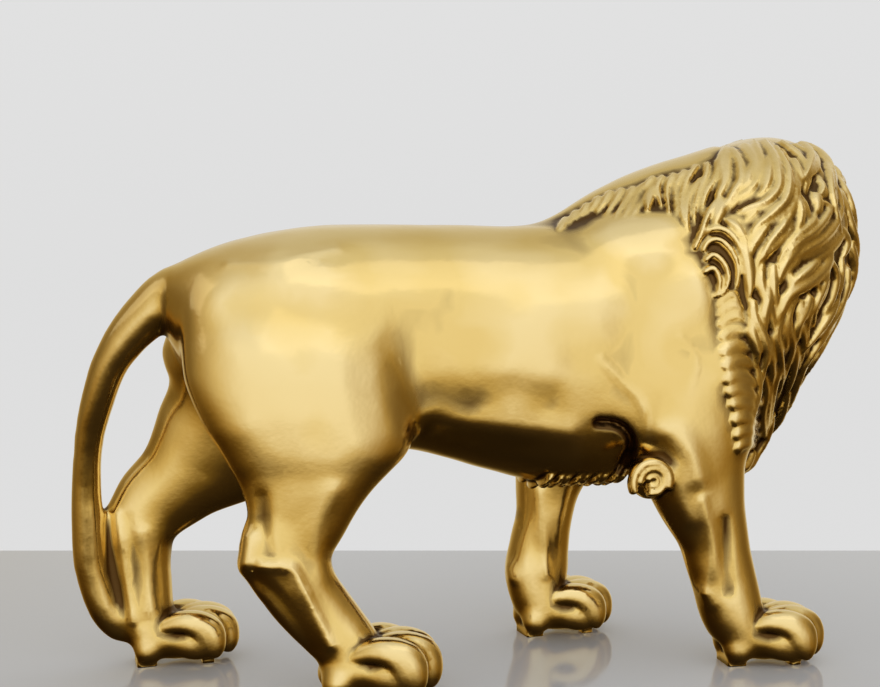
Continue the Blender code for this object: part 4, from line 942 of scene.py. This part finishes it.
# Relief that is pressed into the skin or raised on it: side, line of (x, z), half width, height
relief = {
    "flank": [
        (-1, [(-0.470, 0.735), (-0.395, 0.737), (-0.345, 0.752), (-0.290, 0.762)], 0.009, 0.0026),
        (-1, [(-0.310, 0.738), (-0.250, 0.738)], 0.030, -0.0015),
        (-1, [(-0.365, 0.720), (-0.352, 0.643), (-0.346, 0.545), (-0.340, 0.470)], 0.034, -0.0015),
        (-1, [(-0.405, 0.620), (-0.402, 0.590)], 0.040, -0.0012),
        (-1, [(-0.444, 0.515), (-0.420, 0.476), (-0.385, 0.445), (-0.345, 0.440)], 0.030, -0.0015),
        (-1, [(-0.178, 0.640), (-0.170, 0.573), (-0.154, 0.521), (-0.135, 0.476)], 0.032, -0.0015),
        (-1, [(-0.235, 0.600), (-0.220, 0.520), (-0.205, 0.460)], 0.030, 0.0025),
        (-1, [(-0.060, 0.500), (-0.010, 0.515), (0.040, 0.512), (0.075, 0.500)], 0.030, -0.0030),
        (-1, [(-0.130, 0.478), (-0.060, 0.462), (0.020, 0.452), (0.110, 0.440)], 0.026, 0.0060),
        (-1, [(0.170, 0.458), (0.205, 0.452), (0.228, 0.432), (0.238, 0.400),
              (0.236, 0.366)], 0.0062, -0.018),
        (-1, [(0.170, 0.570), (0.210, 0.530), (0.243, 0.495), (0.256, 0.455),
              (0.256, 0.410)], 0.009, 0.0022),
        (-1, [(0.120, 0.590), (0.176, 0.555), (0.225, 0.510)], 0.044, -0.0010),
        (-1, [(0.264, 0.740), (0.268, 0.680), (0.268, 0.600), (0.250, 0.540)], 0.040, 0.0040),
        (-1, [(0.316, 0.612), (0.346, 0.567), (0.331, 0.515)], 0.005, 0.0015),
        (-1, [(0.350, 0.720), (0.368, 0.665), (0.385, 0.600), (0.398, 0.545)], 0.030, 0.0045),
        (-1, [(0.190, 0.745), (0.240, 0.725)], 0.050, -0.0010),
        (-1, [(-0.060, 0.700), (0.010, 0.690), (0.090, 0.700)], 0.050, -0.0020),
        (-1, [(-0.130, 0.640), (-0.080, 0.600), (-0.050, 0.560)], 0.044, -0.0016),
        (-1, [(0.300, 0.440), (0.330, 0.400), (0.345, 0.360)], 0.026, 0.007),
        (-1, [(-0.426, 0.241), (-0.380, 0.235), (-0.359, 0.197), (-0.334, 0.145),
              (-0.314, 0.102)], 0.010, 0.0055),
        (-1, [(-0.436, 0.216), (-0.404, 0.189), (-0.371, 0.145), (-0.345, 0.096)], 0.016, -0.0050),
        (-1, [(-0.446, 0.285), (-0.450, 0.246)], 0.012, 0.0060),
        (-1, [(-0.425, 0.350), (-0.422, 0.301), (-0.416, 0.262)], 0.013, -0.0035),
        (-1, [(-0.310, 0.360), (-0.338, 0.290), (-0.322, 0.230)], 0.018, 0.0030),
        (-1, [(-0.672, 0.270), (-0.662, 0.204), (-0.645, 0.110)], 0.010, -0.0020),
        (-1, [(-0.655, 0.290), (-0.642, 0.203), (-0.628, 0.090)], 0.008, 0.0035),
        (-1, [(-0.636, 0.280), (-0.622, 0.202), (-0.612, 0.090)], 0.010, -0.0020),
        (-1, [(-0.610, 0.250), (-0.604, 0.170), (-0.600, 0.110)], 0.014, 0.0030),
        (-1, [(0.150, 0.296), (0.160, 0.200), (0.166, 0.130)], 0.012, 0.0035),
        (-1, [(0.101, 0.140), (0.104, 0.120)], 0.014, 0.0050),
        (-1, [(0.360, 0.314), (0.384, 0.222), (0.378, 0.146)], 0.012, 0.0040),
        (-1, [(0.408, 0.276), (0.417, 0.147)], 0.011, -0.0035),
        (-1, [(0.382, 0.137), (0.386, 0.124)], 0.014, 0.0060),
        (-1, [(0.304, 0.371), (0.340, 0.279)], 0.016, 0.0040),
        (1, [(-0.395, 0.735), (-0.350, 0.755), (-0.300, 0.766), (-0.245, 0.765)], 0.014, 0.0015),
        (1, [(-0.365, 0.720), (-0.352, 0.643), (-0.350, 0.545), (-0.360, 0.470)], 0.030, -0.0020),
        (1, [(-0.178, 0.610), (-0.170, 0.573), (-0.160, 0.521), (-0.150, 0.476)], 0.032, -0.0025),
        (1, [(0.080, 0.600), (0.136, 0.562), (0.170, 0.500)], 0.040, -0.0030),
        (1, [(0.350, 0.720), (0.360, 0.665), (0.365, 0.600), (0.355, 0.545)], 0.030, 0.0040),
        (1, [(0.100, 0.458), (0.125, 0.445), (0.140, 0.410)], 0.010, -0.012),
    ],
    "lumps": 0.0012,  # height of the hand-modelled unevenness
    "lumpScales": [(9, 1.0), (21, 0.5)],  # lumps in a metre, share
    "dark": -0.010,  # a press deeper than this is a crease, and painted dark as shade with the patina colour
}
hollows = {
    "rounds": 16,  # how wide the surroundings are that a point is measured against
    "full": 0.005,  # metres below them that count as wholly hollow
    # creases are set this hollow over this many of their half widths, so that they are painted dark as
    # shade
    "crease": 1.2,
    "creaseWidth": 2.0,
}


def edgeEnds(mesh):
    ends = np.empty(len(mesh.edges) * 2, int)
    mesh.edges.foreach_get("vertices", ends)
    return ends.reshape(-1, 2).T


def readMesh(mesh):
    co = np.empty(len(mesh.vertices) * 3)
    no = np.empty(len(mesh.vertices) * 3)
    mesh.vertices.foreach_get("co", co)
    mesh.vertex_normals.foreach_get("vector", no)
    return co.reshape(-1, 3), no.reshape(-1, 3)


def nearLine(co, spots, width):  # the points near a line, and how far each is from it
    reach = 3 * width * height
    near = ((co > spots.min(0) - reach) & (co < spots.max(0) + reach)).all(1)
    return near, np.min(np.linalg.norm(co[near][:, None] - spots[None], axis=2), axis=1)


def pressRelief(thing):
    mesh = thing.data
    co, no = readMesh(mesh)
    skin = BVHTree.FromObject(thing, bpy.context.evaluated_depsgraph_get())
    push, creases = np.zeros(len(co)), []
    for hand, line, width, rise in relief["flank"]:
        spots = [skinAt(skin, x, hand, z)[0] for x, z in through(line, 24)]
        spots = np.array([s for s in spots if s is not None])
        # a deep press is kept as a crease, which is later painted dark as shade
        if rise < relief["dark"]:
            creases.append((spots, width))
        near, gap = nearLine(co, spots, width)
        push[near] += rise * height * np.exp(-((gap / (width * height)) ** 2))
    bumps = [sum(noise.noise(Vector(p) * fine) * part for fine, part in relief["lumpScales"]) for p in co]
    push += relief["lumps"] * height * np.array(bumps)
    co += no * push[:, None]
    mesh.vertices.foreach_set("co", co.ravel())
    mesh.update()
    return creases


def thin(thing):
    reduce = thing.modifiers.new("thin", "DECIMATE")
    reduce.ratio = statue["triangles"] / (2 * len(thing.data.polygons))
    bake(thing)


def ground(thing):
    cutter = bmesh.new()
    cutter.from_mesh(thing.data)
    everything = cutter.verts[:] + cutter.edges[:] + cutter.faces[:]
    cut = bmesh.ops.bisect_plane(
        cutter, geom=everything, dist=1e-6, plane_co=(0, 0, 0), plane_no=(0, 0, -1), clear_outer=True
    )
    rim = [e for e in cut["geom_cut"] if isinstance(e, bmesh.types.BMEdge)]
    bmesh.ops.holes_fill(cutter, edges=rim)
    bmesh.ops.triangulate(cutter, faces=cutter.faces)
    bmesh.ops.recalc_face_normals(cutter, faces=cutter.faces)
    cutter.to_mesh(thing.data)
    cutter.free()


def markHollows(thing, shift, creases):  # an attribute: how far each point lies below its surroundings, with the creases set deep so that they are painted dark as shade
    mesh = thing.data
    co, no = readMesh(mesh)
    a, b = edgeEnds(mesh)
    count = np.bincount(np.r_[a, b], minlength=len(co))
    smooth = co.copy()
    for _ in range(hollows["rounds"]):
        total = [np.bincount(np.r_[a, b], smooth[np.r_[b, a], k], len(co)) for k in range(3)]
        smooth = np.stack(total, 1) / count[:, None]
    depth = ((smooth - co) * no).sum(1)
    for _ in range(2):
        depth = 0.5 * depth + 0.5 * np.bincount(np.r_[a, b], depth[np.r_[b, a]], len(co)) / count
    depth = np.clip(depth / hollows["full"], -1, 1)
    for spots, width in creases:
        spots = spots + np.array((*shift[:2], 0.0))
        near, gap = nearLine(co, spots, width)
        gap /= hollows["creaseWidth"] * width * height
        depth[near] = np.maximum(depth[near], hollows["crease"] * np.exp(-(gap**2)))
    layer = mesh.attributes.new("hollow", "FLOAT", "POINT")
    layer.data.foreach_set("value", depth)


def makeLion():
    clay = bmesh.new()
    addTorso(clay)
    addLimb(clay, limbs["nearHind"], -1, limbs["thighLevel"])
    for name, hand in (("farHind", 1), ("nearFore", -1), ("farFore", 1)):
        addLimb(clay, limbs[name], hand)
    addMuscles(clay)
    addManeBody(clay)
    addTail(clay)
    for place in paws["places"]:
        addInstep(clay, *place)
    lion = meshObject("lionCasting", clay)
    fuse(lion, statue["bodyGrain"], statue["bodySoften"])
    print("stage: body fused,", len(lion.data.vertices), "points")
    melt(lion)
    creases = pressRelief(lion)
    print("stage: relief pressed")
    skin = BVHTree.FromObject(lion, bpy.context.evaluated_depsgraph_get())
    clay = bmesh.new()
    clay.from_mesh(lion.data)
    addLocks(clay, skin, maneStarts())
    addSeenLocks(clay, skin)
    addCurls(clay, skin)
    addFace(clay)
    for place in paws["places"]:
        addToes(clay, *place)
    clay.to_mesh(lion.data)
    clay.free()
    fuse(lion, statue["fineGrain"], statue["fineSoften"])
    print("stage: casting fused,", len(lion.data.vertices), "points")
    thin(lion)
    ground(lion)
    corners, _ = readMesh(lion.data)
    middle = (corners.min(0) + corners.max(0)) / 2
    low, high = (np.array(v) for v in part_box("lion"))
    shift = (low + high) / 2 - middle
    lion.data.transform(Matrix.Translation((shift[0], shift[1], 0)))
    markHollows(lion, shift, creases)
    lion.data.shade_smooth()
    print("stage: lion finished,", len(lion.data.polygons), "triangles")
    return lion, shift


# Brass
brass = {
    "gold": (0.80, 0.602, 0.232),
    "pale": (0.87, 0.695, 0.345),
    # dark brown patina, which also stands for painted shade in the hollows and creases
    "patinaAndShade": (0.115, 0.062, 0.020),
    "roughness": 0.165,
    "clouds": (5.0, 4.0),  # scale and detail
    "grain": (90.0, 3.0),
    "cloudy": 0.10,  # how much the clouds change the polish and the patina with its painted shade
    "grainy": 0.05,
    "dull": 0.22,  # how much rougher the patina and its painted shade are
    "dark": (0.05, 0.52),  # hollow from which the patina and painted shade start, and where they are full
    "worn": (0.05, 0.55),  # the same for the raised edges
    "bump": (0.10, 0.002),  # strength and distance
}


class Field:  # a node socket that takes part in sums
    def __init__(self, maker, socket):
        self.maker, self.socket = maker, socket

    def math(self, operation, other, swap=False):
        pair = (other, self) if swap else (self, other)
        return self.maker.node("ShaderNodeMath", {"operation": operation}, {0: pair[0], 1: pair[1]})

    def __add__(self, other):
        return self.math("ADD", other)

    def __mul__(self, other):
        return self.math("MULTIPLY", other)

    def __sub__(self, other):
        return self.math("SUBTRACT", other)

    def __rsub__(self, other):
        return self.math("SUBTRACT", other, True)

    __radd__ = __add__
    __rmul__ = __mul__


class Maker:  # builds the nodes of a material or of the world
    def __init__(self, owner, shader):
        owner.use_nodes = True
        self.owner, self.tree = owner, owner.node_tree
        self.shader = self.tree.nodes[shader]

    def node(self, kind, settings, values, output=0):
        made = self.tree.nodes.new(kind)
        for name, value in settings.items():
            if name == "stops":
                self.setStops(made.color_ramp, value)
            else:
                setattr(made, name, value)
        for name, value in values.items():
            self.plug(made.inputs[name], value)
        return Field(self, made.outputs[output])

    def mix(self, factor, first, second, kind="MIX"):
        settings = {"data_type": "RGBA", "blend_type": kind}
        return self.node("ShaderNodeMix", settings, {0: factor, 6: first, 7: second}, 2)

    def ramp(self, value, low, high):
        return self.node("ShaderNodeMapRange", {}, {"Value": value, "From Min": low, "From Max": high})

    def setStops(self, ramp, stops):
        while len(ramp.elements) < len(stops):
            ramp.elements.new(0.5)
        for element, (at, colour) in zip(ramp.elements, stops):
            element.position = at
            element.color = (*colour, 1)

    def plug(self, socket, value):
        if isinstance(value, Field):
            self.tree.links.new(value.socket, socket)
        else:
            socket.default_value = value

    def set(self, name, value):
        self.plug(self.shader.inputs[name], value)


def brassMaterial():
    make = Maker(bpy.data.materials.new("polishedBrass"), "Principled BSDF")
    where = make.node("ShaderNodeTexCoord", {}, {}, "Object")
    hollow = make.node("ShaderNodeAttribute", {"attribute_name": "hollow"}, {}, "Fac")
    clouds, grains = brass["clouds"], brass["grain"]
    cloud = make.node("ShaderNodeTexNoise", {}, {"Vector": where, "Scale": clouds[0], "Detail": clouds[1]})
    grain = make.node("ShaderNodeTexNoise", {}, {"Vector": where, "Scale": grains[0], "Detail": grains[1]})
    mottle = (cloud - 0.5) * brass["cloudy"]
    # darkens the hollows with patina, and paints shade into them and into the creases
    dark = make.ramp(hollow + mottle, *brass["dark"])
    worn = make.ramp(hollow * -1.0, *brass["worn"])
    tone = make.mix(worn, (*brass["gold"], 1), (*brass["pale"], 1))
    make.set("Base Color", make.mix(dark, tone, (*brass["patinaAndShade"], 1)))
    make.set("Metallic", 1.0)
    roughness = brass["roughness"] + mottle + (grain - 0.5) * brass["grainy"] + dark * brass["dull"]
    make.set("Roughness", roughness)
    strength, distance = brass["bump"]
    bump = make.node("ShaderNodeBump", {}, {"Strength": strength, "Distance": distance, "Height": grain})
    make.set("Normal", bump)
    return make.owner


# Studio: pale floor, plain backdrop, soft light all round and the camera
studio = {
    "floor": (0.56, 0.575, 0.61),
    "floorRoughness": 0.10,
    "floorEnd": 4.0,  # metres from the camera to the floor's back edge
    "backdrop": [(0.50, (0.735, 0.735, 0.735)), (0.62, (0.755, 0.755, 0.755))],  # from the horizon up
    "lens": 50.0,
    # how light the room is by the height of the direction: straight down is 0 and straight up 1
    "room": [
        (0.00, (0.020, 0.012, 0.004)),
        (0.16, (0.050, 0.030, 0.010)),
        (0.24, (0.190, 0.122, 0.032)),
        (0.33, (0.700, 0.565, 0.300)),
        (0.43, (1.020, 0.975, 0.870)),
        (0.70, (1.050, 1.040, 1.010)),
        (1.00, (0.780, 0.770, 0.740)),
    ],
    # the room's share of that light from the viewer's left, 0, to the viewer's right, 1
    "across": [
        (0.00, (0.22, 0.15, 0.05)),
        (0.10, (0.42, 0.31, 0.13)),
        (0.26, (0.74, 0.64, 0.42)),
        (0.43, (1.00, 1.00, 1.00)),
        (0.80, (1.00, 1.00, 1.00)),
        (0.93, (0.46, 0.34, 0.14)),
        (1.00, (0.20, 0.13, 0.04)),
    ],
    # and from behind the statue, 0, to the viewer, 1
    "along": [
        (0.00, (0.70, 0.68, 0.64)),
        (0.35, (0.80, 0.76, 0.66)),
        (0.60, (1.00, 1.00, 1.00)),
        (1.00, (1.00, 1.00, 1.00)),
    ],
    # place, what it shines at, size and watts
    "lamps": {
        "keyPanel": ((1.0, -3.8, 3.9), (0, 0, 0.7), (4.6, 2.8), 8),
        "sidePanel": ((-3.6, -0.6, 3.0), (0, 0, 0.6), (2.6, 2.6), 5),
    },
}


def makeFloor(shift):
    sheet = bmesh.new()
    bmesh.ops.create_grid(sheet, x_segments=1, y_segments=1, size=20.0)
    turn = Matrix.Rotation(math.radians(-seen["view"]), 4, "Z")
    eye = Vector(seen["eye"]) * height + Vector((shift[0], shift[1], 0))
    edge = turn @ Vector((0, studio["floorEnd"] - 20.0, 0)) + Vector((eye.x, eye.y, 0))
    bmesh.ops.transform(sheet, matrix=Matrix.Translation(edge) @ turn, verts=sheet.verts)
    floor = meshObject("floor", sheet)
    make = Maker(bpy.data.materials.new("studioFloor"), "Principled BSDF")
    make.set("Base Color", (*studio["floor"], 1))
    make.set("Roughness", studio["floorRoughness"])
    floor.data.materials.append(make.owner)
    floor.visible_glossy = False


def addLamp(name, place, aim, size, power):
    light = bpy.data.lights.new(name, "AREA")
    light.shape = "RECTANGLE"
    light.size, light.size_y = size
    light.energy = power
    lamp = bpy.data.objects.new(name, light)
    bpy.context.scene.collection.objects.link(lamp)
    lamp.location = place
    lamp.rotation_euler = (Vector(aim) - Vector(place)).to_track_quat("-Z", "Y").to_euler()


def makeWorld():  # a plain backdrop for the camera, and a soft room for the light and the reflections
    world = bpy.data.worlds.new("studio")
    bpy.context.scene.world = world
    make = Maker(world, "Background")
    where = make.node("ShaderNodeTexCoord", {}, {}, "Generated")
    view = math.radians(seen["view"])

    def shade(direction, stops):  # a ramp over how far the ray points in the direction
        values = {0: where, 1: direction}
        dot = make.node("ShaderNodeVectorMath", {"operation": "DOT_PRODUCT"}, values, "Value")
        return make.node("ShaderNodeValToRGB", {"stops": stops}, {"Fac": make.ramp(dot, -1, 1)})

    across = shade((math.cos(view), -math.sin(view), 0), studio["across"])
    along = shade((-math.sin(view), -math.cos(view), 0), studio["along"])
    room = make.mix(1, shade((0, 0, 1), studio["room"]), across, "MULTIPLY")
    room = make.mix(1, room, along, "MULTIPLY")
    glossy = make.node("ShaderNodeLightPath", {}, {}, "Is Glossy Ray")
    make.set("Color", make.mix(glossy, shade((0, 0, 1), studio["backdrop"]), room))


def makeStudio(shift):
    makeFloor(shift)
    makeWorld()
    for name, lamp in studio["lamps"].items():
        addLamp(name, *lamp)
    camera = bpy.data.objects.new("camera", bpy.data.cameras.new("camera"))
    bpy.context.scene.collection.objects.link(camera)
    camera.data.lens = studio["lens"]
    camera.location = Vector(seen["eye"]) * height + Vector((shift[0], shift[1], 0))
    camera.rotation_euler = (math.radians(90 - seen["pitch"]), 0, math.radians(-seen["view"]))
    bpy.context.scene.camera = camera
    bpy.context.scene.view_settings.view_transform = "Standard"


lion, shift = makeLion()
lion.data.materials.clear()
lion.data.materials.append(brassMaterial())
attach(lion, "root")
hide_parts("lion")
makeStudio(shift)
print("stage: studio lit")
